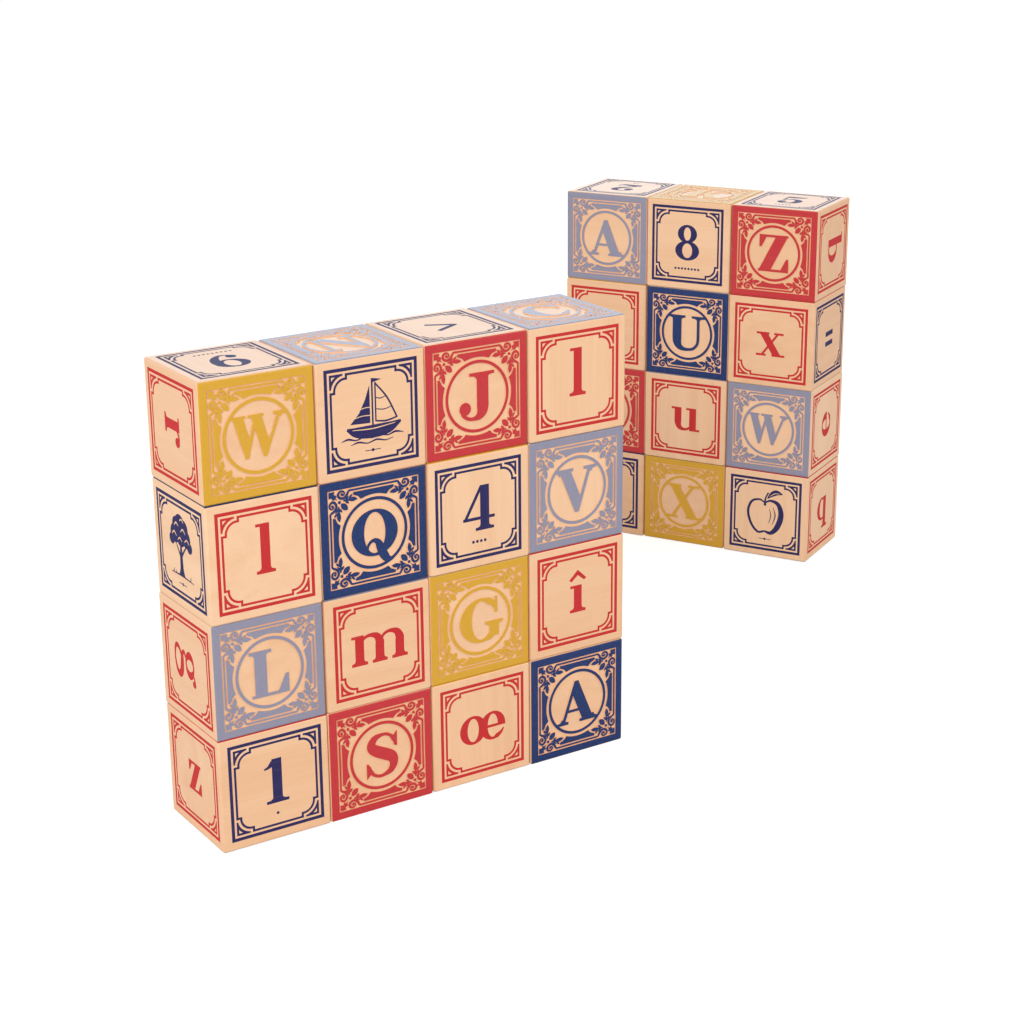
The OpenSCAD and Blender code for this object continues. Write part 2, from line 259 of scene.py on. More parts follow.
def stem(x, half):
    """A capital's full stem: an upright bar with a serif at its foot and one at its top."""
    return [post(x, 0, 1, STEM), slab(x, 0, half, STEM), slab(x, HEAD, half, STEM)]


def trunk(x, height, flag, half):
    """A small letter's stem: a bar with a flag to the left of its top and a serif at its foot."""
    return [post(x, 0, height, TRUNK), beam(x - flag, x, height - THIN, THIN), slab(x, 0, half, TRUNK)]


def arch(start, shoulder, end, half):
    """A small letter's arch: from one stem it swells over its shoulder into the next, with a serif."""
    curve = pen([(start, 0.42, 0.055), (start + 0.1, 0.56, 0.065), (start + 0.24, 0.605, 0.08),
        (shoulder, 0.56, 0.14), (end, 0.44, 0.19), (end, 0.36, TRUNK)])
    return [curve, post(end, 0, 0.4, TRUNK), slab(end, 0, half, TRUNK)]


def joins(start, near, far):
    """The two hairlines from a small letter's stem to the top and the foot of its bowl."""
    levels = ((0.46, 0.58, 0.61), (0.16, 0.05, 0.03))
    return [pen([(start, a, 0.055), (near, b, THIN), (far, c, THIN)]) for a, b, c in levels]


def spark(x, y, arm, waist):
    """A four-pointed star about (x, y)."""
    quarter = np.array([(0, arm), (waist, waist)])
    return np.vstack([quarter @ turn.T for turn in QUARTERS]) + (x, y)


def bow(x, y):
    """A bow of ribbon about (x, y)."""
    return patch([(x, y), (x - 0.1, y + 0.05), (x - 0.07, y - 0.06), (x, y), (x + 0.07, y + 0.06),
        (x + 0.1, y - 0.05)])


def window(x):
    """A window of four panes about x."""
    return [beam(x - 0.06, x + 0.06, 0.2, 0.17), bare(post, x, 0.21, 0.36, 0.016),
        bare(beam, x - 0.05, x + 0.05, 0.277, 0.016)]


# Strokes that two letters share: a round that is open at the right, a closed one, and a small fork
OPEN_ROUND = [
    bowl(0.54, 0.5, 0.53, 0.5, 0.29, HAIR, 58, 302), post(0.91, 0.62, 0.985, 0.065),
    pen([(0.67, 0.94, 0.105), (0.745, 0.9, 0.15), (0.83, 0.83, 0.11), (0.89, 0.74, 0.08),
        (0.91, 0.64, 0.065)])]
CLOSED_ROUND = [
    bowl(0.525, 0.5, 0.535, 0.5, 0.29, HAIR, -90, 90), bowl(0.525, 0.5, 0.535, 0.5, 0.29, HAIR, 90, 270)]
FORK = [
    patch([(0.03, 0.64), (0.26, 0.64), (0.48, 0.165), (0.42, 0), (0.33, 0)]),
    patch([(0.6, 0.64), (0.67, 0.64), (0.42, 0), (0.35, 0)]),
    beam(-0.04, 0.33, 0.58, THIN), beam(0.51, 0.76, 0.58, THIN)]

# Each capital: its width and its strokes, as shares of its height
CAPITALS = {
    "A": (1.06, [
        patch([(0.97, 0), (0.685, 0), (0.375, 0.76), (0.46, 1), (0.56, 1)]),
        slant(0.14, 0, 0.5, 1, 0.085), beam(0.24, 0.76, 0.27, HAIR),
        slab(0.145, 0, 0.15, 0.085), slab(0.825, 0, 0.235, 0.3)]),
    "B": (0.89, [
        post(0.24, 0, 1, STEM), beam(0.03, 0.54, 0, HAIR),
        beam(0.03, 0.52, HEAD, HAIR), beam(0.24, 0.54, 0.51, HAIR),
        bowl(0.5, 0.755, 0.32, 0.245, 0.26, HAIR, -90, 90),
        bowl(0.51, 0.285, 0.38, 0.285, STEM, HAIR, -90, 90)]),
    "C": (0.97, OPEN_ROUND + [
        pen([(0.67, 0.06, 0.105), (0.745, 0.1, 0.15), (0.835, 0.165, 0.105), (0.9, 0.24, 0.06),
            (0.94, 0.32, 0.035)])]),
    "D": (0.97, [
        post(0.24, 0, 1, STEM), beam(0.03, 0.45, 0, HAIR), beam(0.03, 0.45, HEAD, HAIR),
        bowl(0.44, 0.5, 0.53, 0.5, 0.29, HAIR, -90, 90)]),
    "E": (0.9, [
        post(0.24, 0, 1, STEM), beam(0.03, 0.84, HEAD, HAIR),
        beam(0.03, 0.88, 0, HAIR), beam(0.24, 0.58, 0.49, HAIR), post(0.57, 0.38, 0.66, 0.06),
        wedge(0.84, HEAD, 0.2, -0.26), wedge(0.88, HAIR, 0.22, 0.29)]),
    "F": (0.86, [
        post(0.24, 0, 1, STEM), beam(0.03, 0.84, HEAD, HAIR),
        beam(0.24, 0.58, 0.47, HAIR), post(0.57, 0.36, 0.64, 0.06),
        wedge(0.84, HEAD, 0.2, -0.28), slab(0.24, 0, 0.25, STEM)]),
    "G": (1.04, OPEN_ROUND + [
        pen([(0.67, 0.06, 0.105), (0.745, 0.1, 0.15), (0.825, 0.16, 0.14), (0.86, 0.24, 0.19)]),
        post(0.86, 0.1, 0.42, 0.24), slab(0.86, 0.38, 0.22, 0.24)]),
    "H": (1.12, [*stem(0.24, 0.25), *stem(0.88, 0.25), beam(0.24, 0.88, 0.48, HAIR)]),
    "I": (0.48, stem(0.24, 0.25)),
    "J": (0.87, [
        post(0.565, 0.3, 1, 0.28), slab(0.55, HEAD, 0.3, 0.28), dot(0.14, 0.265, 0.14),
        pen([(0.565, 0.4, 0.28), (0.565, 0.29, 0.28), (0.545, 0.17, 0.25), (0.47, 0.075, 0.17),
            (0.35, 0.035, 0.085), (0.22, 0.05, 0.075), (0.1, 0.13, 0.08), (0.05, 0.24, 0.07)])]),
    "K": (1.08, [
        *stem(0.24, 0.235), slant(0.34, 0.36, 0.83, 1, 0.095),
        patch([(0.72, 0), (1.02, 0), (0.585, 0.655), (0.42, 0.5)]),
        beam(0.66, 1.02, HEAD, HAIR), beam(0.64, 1.08, 0, HAIR)]),
    "L": (0.88, [
        post(0.24, 0, 1, STEM), slab(0.24, HEAD, 0.25, STEM),
        beam(0.03, 0.86, 0, HAIR), wedge(0.86, HAIR, 0.24, 0.34)]),
    "M": (1.3, [
        post(0.155, 0, 1, 0.085), post(1.065, 0, 1, STEM),
        patch([(0.115, 1), (0.395, 1), (0.7, 0.24), (0.61, 0), (0.52, 0)]),
        patch([(0.915, 1), (1, 1), (0.61, 0), (0.525, 0)]),
        slab(0.155, 0, 0.165, 0.085), slab(1.065, 0, 0.235, STEM),
        beam(-0.01, 0.38, HEAD, HAIR), beam(0.93, 1.29, HEAD, HAIR)]),
    "N": (1.06, [
        post(0.16, 0, 1, 0.085), post(0.9, 0, 1, 0.085),
        patch([(0.09, 1), (0.37, 1), (0.94, 0.22), (0.94, 0), (0.83, 0)]),
        slab(0.16, 0, 0.17, 0.085), slab(0.9, HEAD, 0.165, 0.085), beam(-0.01, 0.36, HEAD, HAIR)]),
    "O": (1.05, CLOSED_ROUND),
    "P": (0.88, [
        post(0.24, 0, 1, STEM), slab(0.24, 0, 0.25, STEM),
        beam(0.03, 0.52, HEAD, HAIR), beam(0.24, 0.52, 0.43, HAIR),
        bowl(0.49, 0.715, 0.385, 0.285, STEM, HAIR, -90, 90)]),
    "Q": (1.05, CLOSED_ROUND + [
        pen([(0.34, 0.12, 0.05), (0.37, 0.25, 0.065), (0.47, 0.335, 0.075), (0.58, 0.3, 0.13),
            (0.65, 0.17, 0.19), (0.71, 0.02, 0.2), (0.8, -0.1, 0.16), (0.9, -0.12, 0.09),
            (0.98, -0.05, 0.03)])]),
    "R": (1.03, [
        post(0.24, 0, 1, STEM), slab(0.24, 0, 0.25, STEM),
        beam(0.03, 0.52, HEAD, HAIR), beam(0.24, 0.52, 0.47, HAIR),
        bowl(0.49, 0.735, 0.375, 0.265, STEM, HAIR, -90, 90),
        slant(0.825, 0, 0.535, 0.5, 0.29), beam(0.7, 1.03, 0, HAIR)]),
    "S": (0.86, [
        pen([(0.76, 0.66, 0.06), (0.71, 0.83, 0.07), (0.58, 0.94, 0.07), (0.44, 0.96, 0.08),
            (0.27, 0.91, 0.15), (0.185, 0.79, 0.2), (0.22, 0.68, 0.235), (0.37, 0.58, 0.255),
            (0.53, 0.5, 0.26), (0.67, 0.41, 0.245), (0.71, 0.27, 0.2), (0.64, 0.12, 0.15),
            (0.48, 0.045, 0.085), (0.34, 0.04, 0.07), (0.2, 0.12, 0.07), (0.12, 0.3, 0.06)]),
        patch([(0.8, 0.985), (0.8, 0.64), (0.76, 0.64), (0.62, 0.88), (0.72, 0.9)]),
        patch([(0.06, 0.015), (0.06, 0.37), (0.1, 0.37), (0.25, 0.12), (0.14, 0.1)])]),
    "T": (0.96, [
        post(0.48, 0, 1, STEM), slab(0.48, 0, 0.26, STEM), beam(0.02, 0.94, HEAD, HAIR),
        wedge(0.02, HEAD, -0.18, -0.28), wedge(0.94, HEAD, 0.18, -0.28)]),
    "U": (1.08, [
        post(0.24, 0.4, 1, STEM), post(0.88, 0.4, 1, 0.085),
        slab(0.24, HEAD, 0.25, STEM), slab(0.88, HEAD, 0.2, 0.085),
        pen([(0.24, 0.48, STEM), (0.24, 0.36, STEM), (0.25, 0.23, 0.25), (0.31, 0.11, 0.19),
            (0.43, 0.045, 0.12), (0.57, 0.035, 0.085), (0.73, 0.07, 0.08), (0.85, 0.2, 0.08),
            (0.88, 0.36, 0.085), (0.88, 0.48, 0.085)])]),
    "V": (1.04, [
        patch([(0.05, 1), (0.335, 1), (0.65, 0.245), (0.57, 0), (0.47, 0)]),
        patch([(0.815, 1), (0.9, 1), (0.57, 0), (0.485, 0)]),
        slab(0.2, HEAD, 0.225, 0.3), slab(0.86, HEAD, 0.17, 0.085)]),
    "W": (1.36, [
        patch([(0.05, 1), (0.3, 1), (0.5, 0.31), (0.42, 0), (0.34, 0)]),
        patch([(0.6, 1), (0.68, 1), (0.42, 0), (0.34, 0)]),
        patch([(0.5, 1), (0.75, 1), (0.97, 0.25), (0.87, 0), (0.79, 0)]),
        patch([(1.18, 1), (1.26, 1), (0.87, 0), (0.79, 0)]),
        beam(-0.03, 0.37, HEAD, HAIR), beam(0.43, 0.82, HEAD, HAIR), slab(1.22, HEAD, 0.155, 0.08)]),
    "X": (1.04, [
        slant(0.81, 0, 0.21, 1, 0.29), slant(0.15, 0, 0.81, 1, 0.085),
        beam(-0.01, 0.43, HEAD, HAIR), beam(0.66, 0.99, HEAD, HAIR),
        beam(-0.01, 0.32, 0, HAIR), beam(0.6, 1.04, 0, HAIR)]),
    "Y": (1.02, [
        post(0.51, 0, 0.46, STEM), slab(0.51, 0, 0.24, STEM),
        patch([(0.04, 1), (0.325, 1), (0.65, 0.38), (0.375, 0.38)]),
        patch([(0.815, 1), (0.9, 1), (0.645, 0.38), (0.56, 0.38)]),
        beam(-0.03, 0.39, HEAD, HAIR), slab(0.86, HEAD, 0.16, 0.085)]),
    "Z": (0.92, [
        beam(0.05, 0.87, HEAD, HAIR), beam(0.03, 0.89, 0, HAIR),
        patch([(0.03, 0), (0.36, 0), (0.87, 1), (0.54, 1)]),
        wedge(0.05, HEAD, -0.2, -0.27), wedge(0.89, HAIR, 0.22, 0.3)]),
}

# Small letters and figures are lists of strokes; a small letter's foot is at zero
SMALL_LETTERS = {
    "a": [post(0.48, 0.06, 0.4, TRUNK), dot(0.15, 0.47, 0.09),
        pen([(0.13, 0.47, 0.05), (0.17, 0.575, THIN), (0.31, 0.61, THIN), (0.42, 0.57, 0.12),
            (0.48, 0.46, 0.19), (0.48, 0.36, TRUNK)]),
        pen([(0.48, 0.37, 0.055), (0.32, 0.34, 0.07), (0.16, 0.27, 0.16), (0.115, 0.16, 0.185),
            (0.18, 0.055, 0.13), (0.3, 0.03, THIN), (0.4, 0.06, 0.055), (0.48, 0.15, 0.05)]),
        pen([(0.48, 0.16, TRUNK), (0.49, 0.08, 0.18), (0.54, 0.035, 0.09), (0.61, 0.035, 0.06),
            (0.68, 0.1, 0.035)])],
    "b": [post(0.18, 0, 1, TRUNK), beam(0, 0.18, 0.94, THIN),
        bowl(0.37, 0.32, 0.34, 0.32, 0.19, THIN, -90, 90), *joins(0.18, 0.26, 0.38)],
    "c": [bowl(0.35, 0.32, 0.34, 0.32, TRUNK, THIN, 60, 302), dot(0.51, 0.47, 0.1),
        pen([(0.43, 0.595, 0.08), (0.52, 0.565, 0.055), (0.575, 0.5, 0.045)]),
        pen([(0.435, 0.045, 0.075), (0.48, 0.07, 0.11), (0.56, 0.125, 0.07), (0.615, 0.205, 0.03)])],
    "d": [post(0.55, 0, 1, TRUNK), beam(0.36, 0.55, 0.94, THIN), beam(0.55, 0.75, 0, THIN),
        bowl(0.36, 0.32, 0.34, 0.32, 0.19, THIN, 90, 270), *joins(0.55, 0.47, 0.35)],
    "e": [bowl(0.35, 0.32, 0.34, 0.32, TRUNK, THIN, 0, 302), beam(0.18, 0.69, 0.285, THIN),
        pen([(0.435, 0.045, 0.075), (0.48, 0.07, 0.11), (0.57, 0.125, 0.07), (0.635, 0.21, 0.03)])],
    "f": [post(0.21, 0, 0.8, TRUNK), slab(0.21, 0, 0.2, TRUNK), beam(0.02, 0.45, 0.58, THIN),
        dot(0.47, 0.87, 0.1),
        pen([(0.21, 0.7, TRUNK), (0.215, 0.84, 0.17), (0.29, 0.95, 0.09), (0.4, 0.965, THIN),
            (0.48, 0.9, 0.05)])],
    "g": [bowl(0.32, 0.44, 0.29, 0.2, 0.17, THIN, -90, 270), dot(0.66, 0.61, 0.075),
        pen([(0.48, 0.565, 0.055), (0.55, 0.63, THIN), (0.65, 0.655, 0.055)]),
        pen([(0.21, 0.27, 0.055), (0.11, 0.2, 0.09), (0.16, 0.12, 0.1), (0.33, 0.095, 0.14),
            (0.54, 0.06, 0.16), (0.63, -0.04, 0.15), (0.55, -0.16, 0.085), (0.34, -0.22, THIN)]),
        pen([(0.55, -0.16, 0.085), (0.34, -0.22, THIN), (0.12, -0.19, 0.08), (0.045, -0.1, 0.11),
            (0.11, 0.01, 0.08), (0.25, 0.08, 0.055)])],
    "h": [*trunk(0.19, 1, 0.18, 0.19), *arch(0.19, 0.58, 0.65, 0.18)],
    "î": [*trunk(0.22, 0.6, 0.19, 0.2),
        patch([(0, 0.73), (0.06, 0.69), (0.22, 0.82), (0.38, 0.69), (0.44, 0.73), (0.22, 0.94)])],
    "j": [post(0.28, 0.06, 0.64, TRUNK), beam(0.09, 0.28, 0.58, THIN), dot(0.27, 0.86, 0.115),
        dot(0.06, -0.14, 0.085),
        pen([(0.28, 0.14, TRUNK), (0.28, 0.02, 0.19), (0.265, -0.11, 0.155), (0.2, -0.2, 0.08),
            (0.12, -0.225, THIN), (0.03, -0.17, 0.05)])],
    "k": [*trunk(0.19, 1, 0.18, 0.19),
        slant(0.24, 0.24, 0.6, 0.64, 0.085), patch([(0.53, 0), (0.76, 0), (0.45, 0.45), (0.3, 0.37)]),
        beam(0.45, 0.75, 0.58, THIN), beam(0.49, 0.84, 0, THIN)],
    "l": [*trunk(0.21, 1, 0.19, 0.2)],
    "m": [*trunk(0.19, 0.64, 0.18, 0.18), *arch(0.19, 0.58, 0.645, 0.17), *arch(0.645, 1.035, 1.1, 0.18)],
    "n": [*trunk(0.19, 0.64, 0.18, 0.18), *arch(0.19, 0.58, 0.65, 0.18)],
    "o": [bowl(0.35, 0.32, 0.34, 0.32, 0.19, THIN, -90, 270)],
    "œ": [bowl(0.33, 0.32, 0.32, 0.32, 0.185, THIN, -90, 270),
        bowl(0.81, 0.32, 0.31, 0.32, 0.185, THIN, 0, 302), beam(0.64, 1.12, 0.285, THIN),
        pen([(0.885, 0.045, 0.075), (0.925, 0.07, 0.105), (1.01, 0.125, 0.07), (1.08, 0.21, 0.03)])],
    "p": [post(0.19, -0.24, 0.64, TRUNK), beam(0.01, 0.19, 0.58, THIN),
        slab(0.19, -0.24, 0.19, TRUNK), bowl(0.39, 0.32, 0.34, 0.32, 0.19, THIN, -90, 90),
        *joins(0.19, 0.28, 0.4)],
    "q": [post(0.57, -0.24, 0.64, TRUNK), slab(0.57, -0.24, 0.19, TRUNK),
        bowl(0.37, 0.32, 0.34, 0.32, 0.19, THIN, 90, 270), *joins(0.57, 0.48, 0.36)],
    "r": [*trunk(0.19, 0.64, 0.18, 0.19), dot(0.5, 0.53, 0.1),
        pen([(0.19, 0.4, 0.055), (0.27, 0.53, 0.065), (0.38, 0.6, 0.065), (0.49, 0.6, 0.055)])],
    "s": [pen([(0.51, 0.45, 0.05), (0.46, 0.56, 0.055), (0.32, 0.61, THIN), (0.175, 0.565, 0.13),
            (0.135, 0.48, 0.155), (0.23, 0.39, 0.17), (0.37, 0.325, 0.18), (0.47, 0.25, 0.17),
            (0.48, 0.15, 0.155), (0.39, 0.05, 0.095), (0.27, 0.03, THIN), (0.13, 0.08, 0.055),
            (0.07, 0.2, 0.05)]), post(0.515, 0.42, 0.63, 0.05), post(0.07, 0.01, 0.24, 0.05)],
    "t": [post(0.21, 0.2, 0.84, TRUNK), beam(0.02, 0.45, 0.58, THIN),
        pen([(0.21, 0.28, TRUNK), (0.21, 0.17, 0.19), (0.235, 0.065, 0.13), (0.32, 0.03, 0.07),
            (0.42, 0.06, 0.055), (0.47, 0.16, 0.045)])],
    "u": [post(0.2, 0.24, 0.64, TRUNK), beam(0.01, 0.2, 0.58, THIN), post(0.63, 0, 0.64, TRUNK),
        beam(0.44, 0.63, 0.58, THIN), beam(0.63, 0.83, 0, THIN),
        pen([(0.2, 0.32, TRUNK), (0.2, 0.22, 0.19), (0.245, 0.09, 0.14), (0.37, 0.035, 0.08),
            (0.51, 0.07, 0.065), (0.63, 0.2, 0.055)])],
    "v": FORK,
    "w": [patch([(0.03, 0.64), (0.24, 0.64), (0.4, 0.2), (0.33, 0), (0.26, 0)]),
        patch([(0.47, 0.64), (0.54, 0.64), (0.33, 0), (0.26, 0)]),
        patch([(0.41, 0.64), (0.62, 0.64), (0.79, 0.17), (0.71, 0), (0.64, 0)]),
        patch([(0.93, 0.64), (1, 0.64), (0.71, 0), (0.64, 0)]),
        beam(-0.04, 0.3, 0.58, THIN), beam(0.36, 0.67, 0.58, THIN), beam(0.84, 1.07, 0.58, THIN)],
    "x": [slant(0.59, 0, 0.18, 0.64, 0.23), slant(0.13, 0, 0.62, 0.64, 0.075),
        beam(0, 0.36, 0.58, THIN), beam(0.49, 0.75, 0.58, THIN),
        beam(-0.01, 0.27, 0, THIN), beam(0.43, 0.79, 0, THIN)],
    "y": FORK + [dot(0.12, -0.15, 0.09),
        pen([(0.4, 0.03, 0.07), (0.34, -0.1, 0.07), (0.25, -0.19, 0.065), (0.13, -0.2, 0.055)])],
    "z": [beam(0.05, 0.59, 0.58, THIN), beam(0.03, 0.6, 0, THIN),
        patch([(0.03, 0), (0.26, 0), (0.59, 0.64), (0.36, 0.64)]),
        wedge(0.05, 0.58, -0.14, -0.17), wedge(0.6, THIN, 0.16, 0.2)],
}
FIGURES = {
    "1": [post(0.31, 0, 1, 0.225), slab(0.31, 0, 0.26, 0.225),
        pen([(0.02, 0.8, 0.035), (0.12, 0.83, 0.07), (0.24, 0.92, 0.14), (0.31, 0.96, 0.07)])],
    "2": [dot(0.2, 0.715, 0.13),
        pen([(0.1, 0.72, 0.055), (0.15, 0.87, 0.065), (0.33, 0.96, 0.08), (0.51, 0.925, 0.15),
            (0.6, 0.78, 0.21), (0.55, 0.62, 0.2), (0.41, 0.44, 0.14), (0.23, 0.25, 0.08),
            (0.09, 0.06, 0.055)]),
        pen([(0.07, 0.09, 0.18), (0.25, 0.11, 0.2), (0.45, 0.09, 0.18), (0.6, 0.08, 0.16),
            (0.7, 0.16, 0.07), (0.72, 0.28, 0.04)])],
    "3": [dot(0.19, 0.755, 0.12), dot(0.18, 0.225, 0.13),
        pen([(0.11, 0.78, 0.055), (0.16, 0.9, 0.065), (0.33, 0.965, 0.075), (0.51, 0.91, 0.15),
            (0.575, 0.77, 0.195), (0.51, 0.63, 0.14), (0.37, 0.545, 0.065), (0.25, 0.535, 0.055)]),
        pen([(0.25, 0.535, 0.055), (0.41, 0.53, 0.07), (0.575, 0.44, 0.175), (0.635, 0.28, 0.215),
            (0.555, 0.1, 0.155), (0.37, 0.035, 0.07), (0.18, 0.07, 0.065), (0.09, 0.2, 0.055)])],
    "4": [post(0.55, 0, 1, 0.225), slab(0.55, 0, 0.23, 0.225), beam(0.01, 0.8, 0.24, 0.07),
        slant(0.055, 0.26, 0.48, 1, 0.085)],
    "5": [pen([(0.12, 0.92, 0.145), (0.35, 0.895, 0.165), (0.56, 0.925, 0.12), (0.68, 0.985, 0.03)]),
        post(0.145, 0.46, 0.96, 0.06), dot(0.19, 0.225, 0.13),
        pen([(0.145, 0.49, 0.055), (0.26, 0.59, 0.065), (0.41, 0.6, 0.1), (0.565, 0.5, 0.185),
            (0.62, 0.33, 0.225), (0.555, 0.13, 0.165), (0.39, 0.035, 0.07), (0.19, 0.07, 0.065),
            (0.1, 0.19, 0.055)])],
    "6": [bowl(0.39, 0.31, 0.37, 0.31, 0.21, 0.07, -90, 270), dot(0.59, 0.815, 0.115),
        pen([(0.125, 0.31, 0.21), (0.13, 0.52, 0.22), (0.2, 0.75, 0.185), (0.33, 0.92, 0.105),
            (0.47, 0.965, 0.065), (0.62, 0.9, 0.055)])],
    "7": [post(0.06, 0.7, 0.99, 0.055),
        pen([(0.05, 0.93, 0.055), (0.16, 0.895, 0.165), (0.35, 0.905, 0.195), (0.54, 0.905, 0.165),
            (0.68, 0.97, 0.05)]),
        pen([(0.675, 0.96, 0.055), (0.565, 0.74, 0.08), (0.41, 0.5, 0.15), (0.34, 0.28, 0.22),
            (0.34, 0.1, 0.24), (0.34, 0, 0.23)])],
    "8": [bowl(0.39, 0.745, 0.29, 0.255, 0.185, 0.07, -90, 270),
        bowl(0.39, 0.275, 0.36, 0.275, 0.21, 0.07, -90, 270)],
    "9": [bowl(0.39, 0.69, 0.37, 0.31, 0.21, 0.07, -90, 270), dot(0.19, 0.185, 0.115),
        pen([(0.655, 0.69, 0.21), (0.65, 0.48, 0.22), (0.58, 0.25, 0.185), (0.45, 0.08, 0.105),
            (0.31, 0.035, 0.065), (0.16, 0.1, 0.055)])],
    "+": [beam(0.03, 0.57, 0.38, 0.11), post(0.3, 0.165, 0.705, 0.11)],
    "-": [beam(0.05, 0.55, 0.38, 0.11)],
    "=": [beam(0.05, 0.55, 0.49, 0.12), beam(0.05, 0.55, 0.24, 0.12)],
    "<": [pen([(0.56, 0.71, 0.1), (0.06, 0.445, 0.1)]), pen([(0.06, 0.445, 0.1), (0.56, 0.18, 0.1)]),
        dot(0.06, 0.445, 0.05)],
    ">": [pen([(0.06, 0.71, 0.1), (0.56, 0.445, 0.1)]), pen([(0.56, 0.445, 0.1), (0.06, 0.18, 0.1)]),
        dot(0.56, 0.445, 0.05)],
    "×": [pen([(0.06, 0.68, 0.11), (0.54, 0.2, 0.11)]), pen([(0.06, 0.2, 0.11), (0.54, 0.68, 0.11)])],
    "÷": [beam(0.03, 0.57, 0.385, 0.11), dot(0.3, 0.68, 0.08), dot(0.3, 0.2, 0.08)],
}

